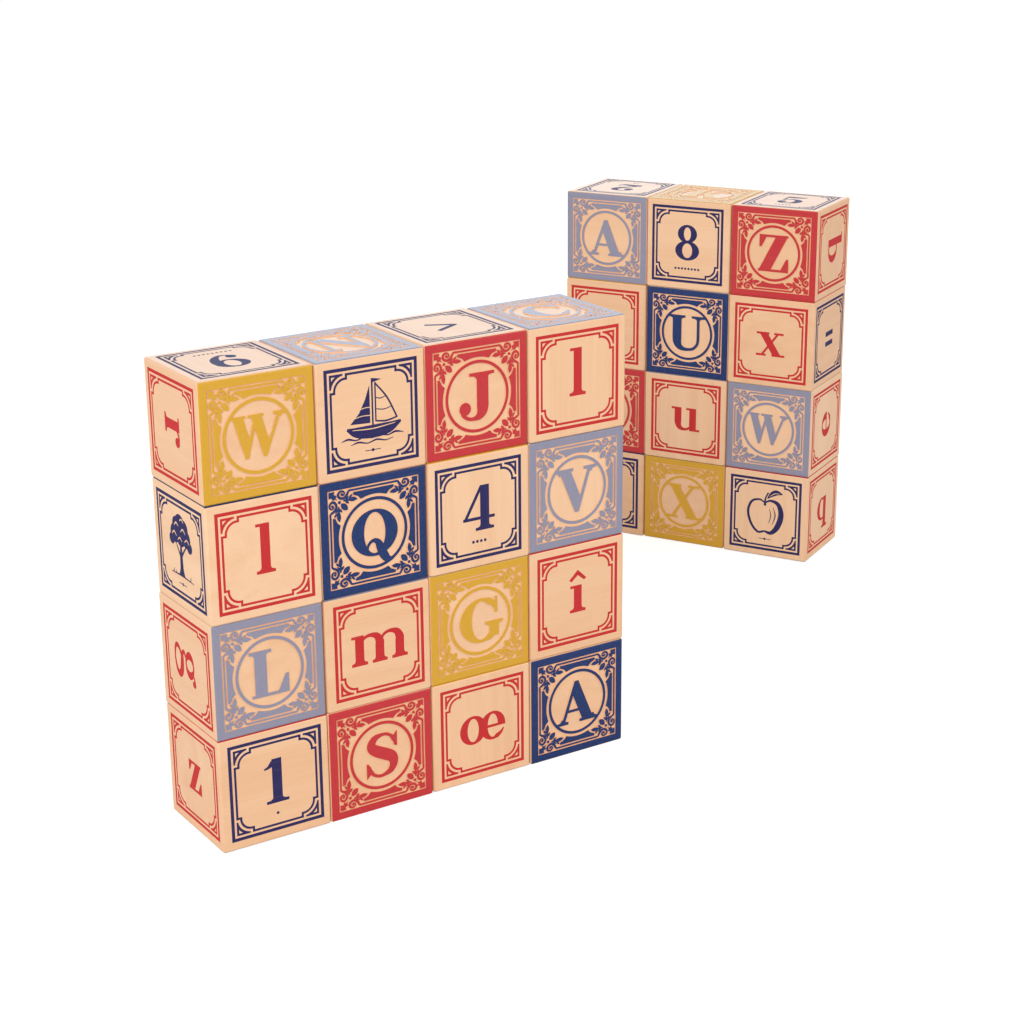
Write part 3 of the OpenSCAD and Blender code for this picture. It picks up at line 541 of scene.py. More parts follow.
# Pictures, as shares of the picture's height; a bare stroke is left as wood
PICTURES = {
    "boat": [
        pen([(0.04, 0.24, 0.04), (0.22, 0.17, 0.17), (0.5, 0.15, 0.21), (0.78, 0.17, 0.18),
            (1.0, 0.25, 0.04)]), bare(pen, [(0.14, 0.215, 0.01), (0.5, 0.195, 0.02), (0.9, 0.23, 0.01)]),
        post(0.5, 0.2, 1.0, 0.03), patch([(0.51, 1.0), (0.51, 0.93), (0.67, 0.965)]),
        patch([(0.455, 0.29), (0.455, 0.9), (0.37, 0.67), (0.26, 0.47), (0.1, 0.31)]),
        bare(pen, [(0.18, 0.4, 0.014), (0.33, 0.42, 0.014), (0.47, 0.41, 0.014)]),
        bare(pen, [(0.28, 0.53, 0.014), (0.38, 0.545, 0.014), (0.47, 0.54, 0.014)]),
        pen([(0.555, 0.3, 0.026), (0.555, 0.93, 0.026)]),
        pen([(0.55, 0.92, 0.026), (0.76, 0.66, 0.03), (0.93, 0.32, 0.03)]),
        pen([(0.55, 0.31, 0.026), (0.74, 0.285, 0.03), (0.94, 0.32, 0.026)]),
        pen([(0.56, 0.5, 0.016), (0.7, 0.475, 0.018), (0.83, 0.5, 0.014)]),
        pen([(0.56, 0.68, 0.016), (0.65, 0.66, 0.018), (0.73, 0.68, 0.014)]),
        pen([(-0.06, 0.06, 0.012), (0.06, 0.085, 0.034), (0.2, 0.05, 0.022), (0.34, 0.085, 0.034),
            (0.48, 0.05, 0.022), (0.62, 0.085, 0.034), (0.76, 0.05, 0.022), (0.9, 0.085, 0.034),
            (1.04, 0.055, 0.012)]),
        pen([(0.1, -0.02, 0.01), (0.24, 0.01, 0.03), (0.4, -0.025, 0.02), (0.56, 0.01, 0.03),
            (0.72, -0.025, 0.02), (0.86, 0.0, 0.01)])],
    "tree": [
        pen([(0.4, 0.02, 0.22), (0.4, 0.14, 0.12), (0.4, 0.34, 0.09), (0.41, 0.55, 0.05)]),
        pen([(0.4, 0.3, 0.05), (0.3, 0.44, 0.035), (0.22, 0.54, 0.02)]),
        pen([(0.41, 0.34, 0.05), (0.52, 0.46, 0.035), (0.62, 0.56, 0.02)]),
        dot(0.4, 0.82, 0.18), dot(0.21, 0.66, 0.15), dot(0.6, 0.66, 0.15),
        dot(0.28, 0.8, 0.14), dot(0.54, 0.8, 0.14), dot(0.41, 0.64, 0.15),
        dot(0.1, 0.55, 0.09), dot(0.71, 0.55, 0.09),
        bare(pen, [(0.2, 0.78, 0.012), (0.27, 0.84, 0.026), (0.35, 0.8, 0.012)]),
        bare(pen, [(0.42, 0.73, 0.012), (0.5, 0.785, 0.026), (0.58, 0.73, 0.012)]),
        bare(pen, [(0.11, 0.63, 0.012), (0.19, 0.685, 0.026), (0.27, 0.63, 0.012)]),
        bare(pen, [(0.4, 0.9, 0.012), (0.47, 0.935, 0.024), (0.53, 0.89, 0.012)]),
        bare(pen, [(0.54, 0.6, 0.012), (0.62, 0.65, 0.024), (0.7, 0.6, 0.012)]),
        bare(pen, [(0.31, 0.58, 0.012), (0.38, 0.63, 0.024), (0.45, 0.58, 0.012)]),
        pen([(0.02, 0.012, 0.012), (0.4, 0.03, 0.03), (0.8, 0.01, 0.012)]),
        pen([(0.1, 0.02, 0.03), (0.12, 0.09, 0.008)]), pen([(0.68, 0.02, 0.03), (0.71, 0.1, 0.008)]),
        pen([(0.2, 0.02, 0.03), (0.17, 0.07, 0.008)])],
    "apple": [
        pen([(0.42, 0.7, 0.03), (0.3, 0.76, 0.04), (0.13, 0.7, 0.05), (0.05, 0.48, 0.055),
            (0.12, 0.22, 0.055), (0.27, 0.05, 0.05), (0.42, 0.08, 0.04)]),
        pen([(0.42, 0.7, 0.03), (0.54, 0.76, 0.05), (0.71, 0.7, 0.09), (0.78, 0.48, 0.12),
            (0.71, 0.22, 0.12), (0.57, 0.06, 0.08), (0.42, 0.08, 0.04)]),
        pen([(0.6, 0.62, 0.01), (0.65, 0.45, 0.026), (0.59, 0.24, 0.01)]),
        pen([(0.52, 0.58, 0.01), (0.555, 0.43, 0.02), (0.51, 0.26, 0.01)]),
        pen([(0.42, 0.64, 0.06), (0.43, 0.8, 0.035), (0.49, 0.93, 0.035)]),
        pen([(0.47, 0.8, 0.02), (0.57, 0.9, 0.1), (0.67, 0.95, 0.11), (0.8, 0.93, 0.02)]),
        bare(pen, [(0.52, 0.85, 0.008), (0.63, 0.925, 0.016), (0.74, 0.935, 0.008)])],
    "fish": [
        pen([(0.03, 0.48, 0.03), (0.16, 0.51, 0.24), (0.36, 0.52, 0.38), (0.58, 0.5, 0.29),
            (0.76, 0.49, 0.13), (0.86, 0.49, 0.08)]),
        patch([(0.8, 0.49), (0.94, 0.71), (1.08, 0.74), (1.0, 0.49), (1.08, 0.24), (0.94, 0.27)]),
        patch([(0.26, 0.66), (0.38, 0.84), (0.6, 0.78), (0.64, 0.58)]),
        patch([(0.36, 0.38), (0.42, 0.2), (0.54, 0.22), (0.56, 0.4)]),
        bare(dot, 0.15, 0.55, 0.04), dot(0.15, 0.55, 0.02),
        bare(pen, [(0.24, 0.65, 0.012), (0.285, 0.52, 0.026), (0.24, 0.38, 0.012)]),
        bare(pen, [(0.38, 0.62, 0.01), (0.42, 0.56, 0.02), (0.38, 0.5, 0.01)]),
        bare(pen, [(0.38, 0.5, 0.01), (0.42, 0.44, 0.02), (0.38, 0.38, 0.01)]),
        bare(pen, [(0.51, 0.59, 0.01), (0.55, 0.535, 0.02), (0.51, 0.48, 0.01)]),
        bare(pen, [(0.51, 0.48, 0.01), (0.55, 0.44, 0.018), (0.51, 0.4, 0.01)]),
        bare(pen, [(0.64, 0.55, 0.01), (0.67, 0.5, 0.018), (0.64, 0.44, 0.01)]),
        bare(pen, [(0.9, 0.53, 0.01), (1.02, 0.66, 0.014)]),
        bare(pen, [(0.9, 0.45, 0.01), (1.02, 0.32, 0.014)])],
    "star": [
        patch([(0.5, 1.0), (0.618, 0.662), (0.976, 0.655), (0.69, 0.438), (0.794, 0.095),
            (0.5, 0.3), (0.206, 0.095), (0.31, 0.438), (0.024, 0.655), (0.382, 0.662)]),
        bare(patch, [(0.5, 0.5), (0.522, 0.88), (0.594, 0.662)]),
        bare(patch, [(0.5, 0.5), (0.874, 0.632), (0.66, 0.462)]),
        bare(patch, [(0.5, 0.5), (0.722, 0.182), (0.506, 0.332)]),
        bare(patch, [(0.5, 0.5), (0.256, 0.152), (0.334, 0.418)]),
        bare(patch, [(0.5, 0.5), (0.106, 0.632), (0.39, 0.634)])],
    "house": [
        patch([(-0.02, 0.52), (0.46, 0.95), (0.94, 0.52), (0.86, 0.5), (0.46, 0.86), (0.06, 0.5)]),
        post(0.13, 0.02, 0.52, 0.035), post(0.79, 0.02, 0.52, 0.035),
        beam(0.02, 0.9, 0.0, 0.035), beam(0.66, 0.74, 0.7, 0.22),
        patch([(0.38, 0.02), (0.38, 0.3), (0.42, 0.35), (0.5, 0.35), (0.54, 0.3), (0.54, 0.02)]),
        bare(dot, 0.51, 0.17, 0.014), *window(0.26), *window(0.66),
        dot(0.46, 0.58, 0.07), bare(dot, 0.46, 0.58, 0.04),
        pen([(0.73, 0.94, 0.02), (0.78, 1.0, 0.04), (0.87, 0.99, 0.03), (0.95, 1.04, 0.01)])],
    "flower": [
        pen([(0.33, 0.0, 0.035), (0.32, 0.3, 0.035), (0.34, 0.6, 0.035)]),
        pen([(0.32, 0.04, 0.02), (0.2, 0.17, 0.09), (0.1, 0.34, 0.07), (0.06, 0.5, 0.01)]),
        pen([(0.33, 0.04, 0.02), (0.46, 0.2, 0.1), (0.55, 0.38, 0.075), (0.57, 0.53, 0.01)]),
        bare(pen, [(0.27, 0.11, 0.006), (0.17, 0.23, 0.014), (0.1, 0.38, 0.006)]),
        bare(pen, [(0.38, 0.11, 0.006), (0.49, 0.26, 0.014), (0.55, 0.42, 0.006)]),
        pen([(0.32, 0.57, 0.05), (0.2, 0.66, 0.15), (0.15, 0.82, 0.14), (0.15, 0.97, 0.01)]),
        pen([(0.36, 0.57, 0.05), (0.48, 0.66, 0.15), (0.53, 0.82, 0.14), (0.53, 0.97, 0.01)]),
        pen([(0.34, 0.56, 0.06), (0.34, 0.72, 0.24), (0.34, 0.86, 0.2), (0.34, 1.0, 0.01)]),
        bare(pen, [(0.3, 0.61, 0.008), (0.22, 0.74, 0.018), (0.24, 0.92, 0.01)]),
        bare(pen, [(0.38, 0.61, 0.008), (0.46, 0.74, 0.018), (0.44, 0.92, 0.01)])],
    "moon": [
        pen([(0.66, 0.95, 0.01), (0.4, 0.88, 0.14), (0.24, 0.66, 0.26), (0.22, 0.42, 0.28),
            (0.36, 0.17, 0.18), (0.68, 0.06, 0.01)]),
        bare(pen, [(0.3, 0.78, 0.008), (0.2, 0.56, 0.02), (0.26, 0.3, 0.008)]),
        spark(0.66, 0.64, 0.14, 0.03), spark(0.86, 0.33, 0.09, 0.02),
        dot(0.56, 0.36, 0.025), dot(0.88, 0.86, 0.03)],
    "leaf": [
        pen([(0.0, 0.0, 0.03), (0.12, 0.13, 0.03), (0.2, 0.24, 0.03)]),
        pen([(0.14, 0.17, 0.02), (0.26, 0.3, 0.34), (0.42, 0.46, 0.5), (0.62, 0.7, 0.38),
            (0.78, 0.88, 0.14), (0.88, 1.0, 0.01)]),
        bare(pen, [(0.18, 0.21, 0.02), (0.5, 0.55, 0.02), (0.82, 0.92, 0.006)]),
        bare(pen, [(0.32, 0.36, 0.014), (0.32, 0.5, 0.012), (0.27, 0.62, 0.006)]),
        bare(pen, [(0.46, 0.51, 0.014), (0.47, 0.66, 0.012), (0.43, 0.8, 0.006)]),
        bare(pen, [(0.36, 0.4, 0.014), (0.5, 0.37, 0.012), (0.6, 0.3, 0.006)]),
        bare(pen, [(0.5, 0.55, 0.014), (0.64, 0.53, 0.012), (0.76, 0.48, 0.006)]),
        bare(pen, [(0.64, 0.71, 0.012), (0.74, 0.7, 0.01), (0.84, 0.67, 0.006)])],
    "cup": [
        patch([(0.1, 0.56), (0.74, 0.56), (0.72, 0.36), (0.64, 0.2), (0.52, 0.13), (0.32, 0.13),
            (0.2, 0.2), (0.12, 0.36)]),
        bare(pen, [(0.13, 0.47, 0.02), (0.42, 0.44, 0.02), (0.71, 0.47, 0.02)]),
        bare(pen, [(0.2, 0.36, 0.012), (0.24, 0.26, 0.03), (0.32, 0.2, 0.01)]),
        pen([(0.7, 0.48, 0.05), (0.86, 0.5, 0.05), (0.9, 0.38, 0.05), (0.82, 0.28, 0.045),
            (0.64, 0.25, 0.04)]),
        pen([(-0.04, 0.1, 0.02), (0.2, 0.05, 0.06), (0.42, 0.04, 0.08), (0.64, 0.05, 0.06),
            (0.88, 0.1, 0.02)]),
        pen([(0.28, 0.62, 0.01), (0.23, 0.72, 0.035), (0.31, 0.82, 0.035), (0.26, 0.94, 0.01)]),
        pen([(0.44, 0.62, 0.01), (0.39, 0.74, 0.035), (0.47, 0.86, 0.035), (0.42, 1.0, 0.01)]),
        pen([(0.6, 0.62, 0.01), (0.55, 0.72, 0.035), (0.63, 0.82, 0.035), (0.58, 0.94, 0.01)])],
    "kite": [
        patch([(0.62, 1.0), (0.92, 0.66), (0.5, 0.24), (0.3, 0.78)]),
        bare(pen, [(0.62, 0.99, 0.016), (0.5, 0.25, 0.016)]),
        bare(pen, [(0.31, 0.78, 0.016), (0.91, 0.66, 0.016)]),
        bare(patch, [(0.53, 0.7), (0.37, 0.74), (0.49, 0.36)]),
        bare(patch, [(0.63, 0.93), (0.6, 0.76), (0.83, 0.71)]),
        pen([(0.5, 0.26, 0.02), (0.36, 0.2, 0.02), (0.34, 0.1, 0.02), (0.22, 0.08, 0.02),
            (0.16, -0.02, 0.02), (0.04, 0.0, 0.016)]),
        bow(0.36, 0.2), bow(0.22, 0.08)],
    "bell": [
        pen([(0.42, 0.93, 0.08), (0.42, 0.86, 0.24), (0.42, 0.76, 0.36), (0.42, 0.58, 0.44),
            (0.42, 0.38, 0.52), (0.42, 0.27, 0.66), (0.42, 0.2, 0.84)]),
        beam(-0.02, 0.86, 0.15, 0.06), dot(0.42, 0.1, 0.08), dot(0.42, 0.97, 0.07),
        bare(dot, 0.42, 0.97, 0.035),
        bare(pen, [(0.14, 0.33, 0.02), (0.42, 0.31, 0.02), (0.7, 0.33, 0.02)]),
        bare(pen, [(0.22, 0.66, 0.016), (0.42, 0.645, 0.016), (0.62, 0.66, 0.016)]),
        bare(pen, [(0.3, 0.78, 0.006), (0.27, 0.6, 0.03), (0.23, 0.42, 0.006)])],
}

# Each block: its near capital and the inks of its near and far carved faces, then its printed
# faces in turn: the one at the front or top, the right one, the one at the back or below, and
# the left one. A number after a colon turns that print by so many quarters to the left.
BLOCKS = {
    "front_block_c1_r1": "B red blue 1 + house z",
    "front_block_c2_r1": "S red yellow 7 fish f -",
    "front_block_c3_r1": "O yellow sky œ 2 star +",
    "front_block_c4_r1": "A blue red 3 n leaf =",
    "front_block_c1_r2": "L sky yellow 5 cup + g:3",
    "front_block_c2_r2": "M sky red m 8 bell ×",
    "front_block_c3_r2": "G yellow blue t 6 kite <",
    "front_block_c4_r2": "I red yellow î star 4 -",
    "front_block_c1_r3": "E blue sky l 2 ÷ tree",
    "front_block_c2_r3": "Q blue red moon k 6 -",
    "front_block_c3_r3": "D yellow blue 4 d apple >",
    "front_block_c4_r3": "V sky yellow 9 v kite =",
    "front_block_c1_r4": "W yellow blue 9:2 moon - r:3",
    "front_block_c2_r4": "N sky red boat o 3 +",
    "front_block_c3_r4": "J red sky > j 8 flower",
    "front_block_c4_r4": "C sky blue l 5 bell +",
    "rear_block_c1_r1": "P blue yellow 3 p star =",
    "rear_block_c2_r1": "X yellow red 1 cup h ×",
    "rear_block_c3_r1": "T red blue apple q 7 -",
    "rear_block_c1_r2": "R red sky tree 6 s ÷",
    "rear_block_c2_r2": "Y sky blue u 4 fish +",
    "rear_block_c3_r2": "W sky yellow flower e:1 2 <",
    "rear_block_c1_r3": "F yellow red a 8 leaf +",
    "rear_block_c2_r3": "U blue yellow 5 bell w -",
    "rear_block_c3_r3": "H red sky x = house 9",
    "rear_block_c1_r4": "A sky red 2:2 c boat >",
    "rear_block_c2_r4": "K yellow sky 8 y moon +",
    "rear_block_c3_r4": "Z red blue 5 b:3 kite -",
}
ALPHABET = "ABCDEFGHIJKLMNOPQRSTUVWXYZ"

# Each face of a block: its rightward and upward directions, seen from outside
FACES = {
    "front": ((1, 0, 0), (0, 0, 1)),
    "back": ((-1, 0, 0), (0, 0, 1)),
    "left": ((0, -1, 0), (0, 0, 1)),
    "right": ((0, 1, 0), (0, 0, 1)),
    "top": ((1, 0, 0), (0, 1, 0)),
    "bottom": ((1, 0, 0), (0, -1, 0)),
}


def placed(layers, scale, origin, turns=0):
    """The same layers scaled about an origin, turned by quarters, and laid at the face's middle."""
    turn = QUARTERS[turns % 4]
    return [((polygon - origin) * scale @ turn, paint) for polygon, paint in layers]


def square(half):
    """A square about the middle."""
    return np.array([(-half, -half), (half, -half), (half, half), (-half, half)])


def quartered(polygon):
    """A polygon at its four quarter turns about the middle."""
    return [polygon @ turn for turn in QUARTERS]


def carved_layers(letter):
    """A carved face: an inked border, a cut ground, scrolls in the corners, and a capital in a ring.

    The scrollwork is given by its distances a and b from a corner of the ground, along its
    two sides; it is mirrored across the diagonal, and every corner has it.
    """
    tip = RULE_SIDE / 2
    land = RULE_WIDTH + RULE_GAP
    ring = RING_DIAMETER / 2
    inset = land + RULE_WIDTH
    curve = ring + CHANNEL_WIDTH
    lean = math.degrees(math.asin(PANEL_ARCH / curve))
    turn = np.radians(np.linspace(90 - lean, 90 + lean, HOLLOW_POINTS))
    edge = tip - inset
    side = np.array([(PANEL_HALF, edge), (PANEL_HALF, edge - PANEL_EDGE),
        (PANEL_SHOULDER, edge - PANEL_DROP)])
    hollow = np.column_stack([curve * np.cos(turn), curve * np.sin(turn)])
    panel = np.vstack([side, hollow, side[::-1] * (-1, 1)])
    rule = beam(-RULE_HALF, RULE_HALF, tip - land, RULE_GAP)
    scrolls = [
        pen([(10.3, 0.92, 0.75), (9.0, 0.92, 0.8), (8.4, 1.4, 0.9), (7.8, 2.5, 1.0), (6.6, 3.4, 1.0),
            (5.3, 3.3, 1.0), (4.35, 2.4, 1.0), (4.45, 1.3, 0.95), (5.45, 0.7, 0.8), (6.5, 0.95, 0.7),
            (6.85, 1.75, 0.6), (6.3, 2.3, 0.6), (5.75, 2.0, 0.7)]),
        dot(5.8, 1.9, 0.55, BUD_STEP),
        patch([(0.4, 0.4), (2.9, 0.45), (2.6, 1.5), (3.7, 2.1), (3.3, 2.9), (4.0, 4.0)]),
        dot(4.75, 4.75, 0.62, BUD_STEP),
        pen([(5.4, 5.4, 0.3), (5.9, 5.9, 1.6), (6.7, 6.7, 2.3), (7.5, 7.5, 1.7), (8.1, 8.1, 0.1)]),
        pen([(6.3, 4.3, 0.6), (7.4, 4.4, 0.7), (8.6, 4.4, 0.8), (9.5, 4.4, 1.4), (10.5, 4.4, 1.7),
            (11.4, 4.5, 1.1), (12.2, 4.7, 0.1)]),
        pen([(7.2, 4.3, 0.5), (7.9, 3.6, 1.0), (8.7, 2.9, 0.1)]),
        pen([(7.2, 4.5, 0.5), (8.0, 5.2, 1.0), (8.7, 5.8, 0.1)]),
        pen([(8.6, 4.2, 0.4), (9.5, 3.1, 0.9), (10.2, 2.4, 0.1)]),
    ]
    lands = quartered(panel) + quartered(rule)
    for scroll in scrolls:
        lands += quartered(tip - scroll) + quartered(tip - scroll[:, ::-1])
    width, strokes = CAPITALS[letter]
    height = min(LETTER_HEIGHT, (RING_DIAMETER - RING_WIDTH) / math.hypot(width, 1))
    return [(square(tip), GROUND)] + [(polygon, INK) for polygon in lands] + [
        (dot(0, 0, ring, RING_STEP), INK),
        (dot(0, 0, ring - RING_WIDTH, RING_STEP), GROUND),
    ] + placed(drawn(strokes), height, (width / 2, 0.5))


def frame_layers():
    """The printed frame: a heavy square rule, then a fine line that steps in and rounds each corner.

    The fine line's corner is an arc about (middle, middle), which a three-sided piece with a
    bare heart follows at a distance of one line outside it.
    """
    outer = PRINT_SIDE / 2
    reach = outer - PRINT_RULE - PRINT_GAP
    middle = reach - PRINT_CORNER
    radius = PRINT_CORNER - PRINT_STEP
    turn = np.radians(np.linspace(90, 0, LINE_POINTS))
    arc = np.column_stack([np.cos(turn), np.sin(turn)])
    inner = middle - PRINT_LINE
    edge = reach - PRINT_LINE
    corner_out = np.vstack([[(middle, reach)], middle + radius * arc, [(reach, middle)]])
    bend = middle + (radius - PRINT_LINE) * arc
    start = [(inner, edge), (inner, bend[0, 1])]
    corner_in = np.vstack([start, bend, [(bend[-1, 0], inner), (edge, inner)]])
    line_out = np.vstack(quartered(corner_out)[::-1])
    line_in = np.vstack(quartered(corner_in)[::-1])
    piece = corner_piece(reach, middle, radius + PRINT_LINE, middle + PRINT_LINE)
    low = middle + math.sqrt((radius + PRINT_LINE + PRINT_BAND) ** 2 - (edge - middle) ** 2)
    heart = corner_piece(edge, middle, radius + PRINT_LINE + PRINT_BAND, low)
    layers = [(square(outer), INK), (square(outer - PRINT_RULE), BARE), (line_out, INK), (line_in, BARE)]
    layers += [(polygon, INK) for polygon in quartered(piece)]
    return layers + [(polygon, BARE) for polygon in quartered(heart)]


def corner_piece(reach, middle, radius, low):
    """The part of a square corner outside a circle about (middle, middle), cut off below low."""
    start = math.asin(min(1, (low - middle) / radius))
    turn = np.linspace(start, math.pi / 2 - start, PIECE_POINTS)
    arc = middle + radius * np.column_stack([np.cos(turn), np.sin(turn)])
    return np.vstack([[(low, reach), (reach, reach), (reach, low)], arc])


def printed_layers(item):
    """A printed face: the frame, and in it a small letter, a figure over pips, a sign or a picture."""
    name, _, turns = item.partition(":")
    turns = int(turns or 0)
    motif = drawn({**PICTURES, **SMALL_LETTERS, **FIGURES}[name])
    corners = np.vstack([polygon for polygon, paint in motif])
    low = corners.min(0)
    high = corners.max(0)
    centre = (low + high) / 2
    if name in PICTURES:
        scale = min(PICTURE_HEIGHT / (high - low)[1], PICTURE_WIDTH / (high - low)[0])
        motif = placed(motif, scale, centre - (0, PICTURE_RISE / scale), turns)
        tail = drawn([beam(-TAIL_HALF, TAIL_HALF, -TAIL_WIDTH / 2, TAIL_WIDTH), dot(0, 0, TAIL_DOT)])
        motif += placed(tail, 1, (0, TAIL_DROP), turns)
    elif name in SMALL_LETTERS:
        motif = placed(motif, SMALL_HEIGHT, (centre[0], -SMALL_BASE / SMALL_HEIGHT), turns)
    elif name.isdigit():
        motif = placed(motif, FIGURE_HEIGHT, centre - (0, FIGURE_RISE / FIGURE_HEIGHT), turns)
        along = (np.arange(int(name)) - (int(name) - 1) / 2) * PIP_PITCH
        pips = drawn([dot(x, 0, PIP_RADIUS, PIP_STEP) for x in along])
        motif += placed(pips, 1, (0, PIP_DROP), turns)
    else:
        motif = placed(motif, SIGN_HEIGHT, centre, turns)
    return frame_layers() + motif


def inside(polygon, points):
    """Numbers of the points that lie in a polygon, by how often it winds about each of them.

    An edge that passes a point's level upwards to the point's right adds one, and one that
    passes it downwards takes one away.
    """
    near = np.flatnonzero(((points >= polygon.min(0)) & (points <= polygon.max(0))).all(1))
    x, y = points[near].T[:, :, None]
    ax, ay = polygon.T[:, None]
    bx, by = np.roll(polygon, -1, 0).T[:, None]
    side = (bx - ax) * (y - ay) - (x - ax) * (by - ay)
    rising = (ay <= y) & (by > y) & (side > 0)
    falling = (ay > y) & (by <= y) & (side < 0)
    return near[rising.sum(1) != falling.sum(1)]


def face_mesh(layers, flat):
    """A square face cut into triangles along every polygon's edges, painted layer by layer.

    Ground triangles are sunk by CARVE_DEPTH, and every edge between land and ground gets an
    upright wall. Gives the points, the triangles, and the paint of each triangle.
    """
    rings = [square(flat)] + [polygon for polygon, paint in layers]
    counts = np.array([len(ring) for ring in rings])
    ends = np.cumsum(counts)
    after = np.arange(ends[-1]) + 1
    after[ends - 1] = ends - counts
    edges = np.column_stack([np.arange(ends[-1]), after])
    found = delaunay_2d_cdt(np.vstack(rings).tolist(), edges.tolist(), [], 0, WELD, False)
    points = np.array(found[0])
    tris = np.array(found[2])
    middles = points[tris].mean(1)
    paint = np.full(len(tris), INK if layers[0][1] == GROUND else BARE, dtype="U6")
    for polygon, name in layers:
        paint[inside(polygon, middles)] = name
    sunk = paint == GROUND
    count = len(points)
    solid = np.vstack([np.column_stack([points, np.zeros(count)]),
        np.column_stack([points, np.full(count, -CARVE_DEPTH)])])
    starts = tris[~sunk].ravel()
    stops = np.roll(tris[~sunk], -1, 1).ravel()
    facing = np.roll(tris[sunk], -1, 1).ravel() * count + tris[sunk].ravel()
    wall = np.isin(starts * count + stops, facing)
    i = starts[wall]
    j = stops[wall]
    walls = np.vstack([np.column_stack([i, i + count, j + count]), np.column_stack([i, j + count, j])])
    tris = np.vstack([tris + sunk[:, None] * count, walls])
    return solid, tris, np.concatenate([paint, np.full(len(walls), GROUND)])


def rim_triangles(flat):
    """The rounded edges and corners of a block whose faces are flat out to that distance.

    A corner is an eighth of a ball: points corner + EDGE_RADIUS d, where d is (i, j, k) made
    one long and i + j + k = n. An edge joins the rows k = 0 of the two corners at its ends.
    """
    n = RIM_STEPS
    i, j = np.divmod(np.arange(n * n), n)
    up = np.array([(0, 0), (1, 0), (0, 1)])
    down = np.array([(1, 0), (1, 1), (0, 1)])
    steps = np.column_stack([i, j])[:, None]
    grid = np.vstack([(steps + up)[i + j < n], (steps + down)[i + j < n - 1]])
    ball = np.concatenate([grid, n - grid.sum(2, keepdims=True)], axis=2).astype(float)
    ball = flat + EDGE_RADIUS * ball / np.linalg.norm(ball, axis=2, keepdims=True)
    row = np.column_stack([np.arange(n, -1, -1), np.arange(n + 1)]).astype(float)
    row = flat + EDGE_RADIUS * row / np.linalg.norm(row, axis=1, keepdims=True)
    low = np.column_stack([row, np.full(n + 1, -flat)])
    high = np.column_stack([row, np.full(n + 1, flat)])
    strip = np.concatenate([
        np.stack([low[:-1], low[1:], high[1:]], 1),
        np.stack([low[:-1], high[1:], high[:-1]], 1),
    ])
    signs = np.array(np.meshgrid([-1, 1], [-1, 1], [-1, 1])).reshape(3, -1).T
    balls = [ball * sign for sign in signs]
    strips = [np.roll(strip * sign, axis, 2) for sign in signs[signs[:, 2] > 0] for axis in range(3)]
    return np.concatenate(balls + strips)


def block_mesh(near, far, prints, in_front, rng, side):
    """One block about its own middle, in millimetres: points, triangles, paints and smooth flags.

    in_front says whether its carved faces look to the front and back or up and down.
    """
    flat = side / 2 - EDGE_RADIUS
    carved = ("front", "back") if in_front else ("top", "bottom")
    printed = ("top", "right", "bottom", "left") if in_front else ("front", "right", "back", "left")
    far_letter = ALPHABET[(ALPHABET.index(near[0]) + len(ALPHABET) // 2) % len(ALPHABET)]
    items = list(zip(carved, ((near[0], near[1]), (far_letter, far))))
    for face, item in zip(printed, prints):
        items.append((face, (item, "brick" if item.split(":")[0] in SMALL_LETTERS else "navy")))
    rim = rim_triangles(flat)
    lean = np.cross(rim[:, 1] - rim[:, 0], rim[:, 2] - rim[:, 0])
    lean /= np.linalg.norm(lean, axis=1, keepdims=True)
    inward = (lean * rim.mean(1)).sum(1) < 0
    rim[inward] = rim[inward][:, ::-1]
    lean[inward] *= -1
    rim_paint = np.full(len(rim), BARE, dtype="U6")
    corners = []
    paints = []
    for face, (item, ink) in items:
        key = (face in carved, item)
        if key not in DESIGNS:
            DESIGNS[key] = face_mesh(carved_layers(item) if key[0] else printed_layers(item), flat)
        points, tris, paint = DESIGNS[key]
        points = points.copy()
        right, up = np.array(FACES[face], float)
        axes = np.array([right, up, np.cross(right, up)])
        if key[0]:
            rim_paint[lean @ axes[2] > RIM_INK] = ink
        else:
            moved = np.abs(points[:, :2]).max(1) < flat - WELD
            points[moved, :2] += rng.uniform(-PRINT_SLIP, PRINT_SLIP, 2)
        corners.append((points @ axes + axes[2] * side / 2)[tris])
        paints.append(np.where(paint == INK, ink, BARE))
    faces = sum(len(part) for part in corners)
    soup = np.concatenate(corners + [rim])
    rounded = np.round(soup.reshape(-1, 3), DECIMALS)
    _, first, tris = np.unique(rounded, axis=0, return_index=True, return_inverse=True)
    paint = np.concatenate(paints + [rim_paint])
    tris = tris.reshape(-1, 3)
    sound = (tris != np.roll(tris, 1, 1)).all(1)
    smooth = np.arange(len(soup)) >= faces
    return soup.reshape(-1, 3)[first], tris[sound], paint[sound], smooth[sound]


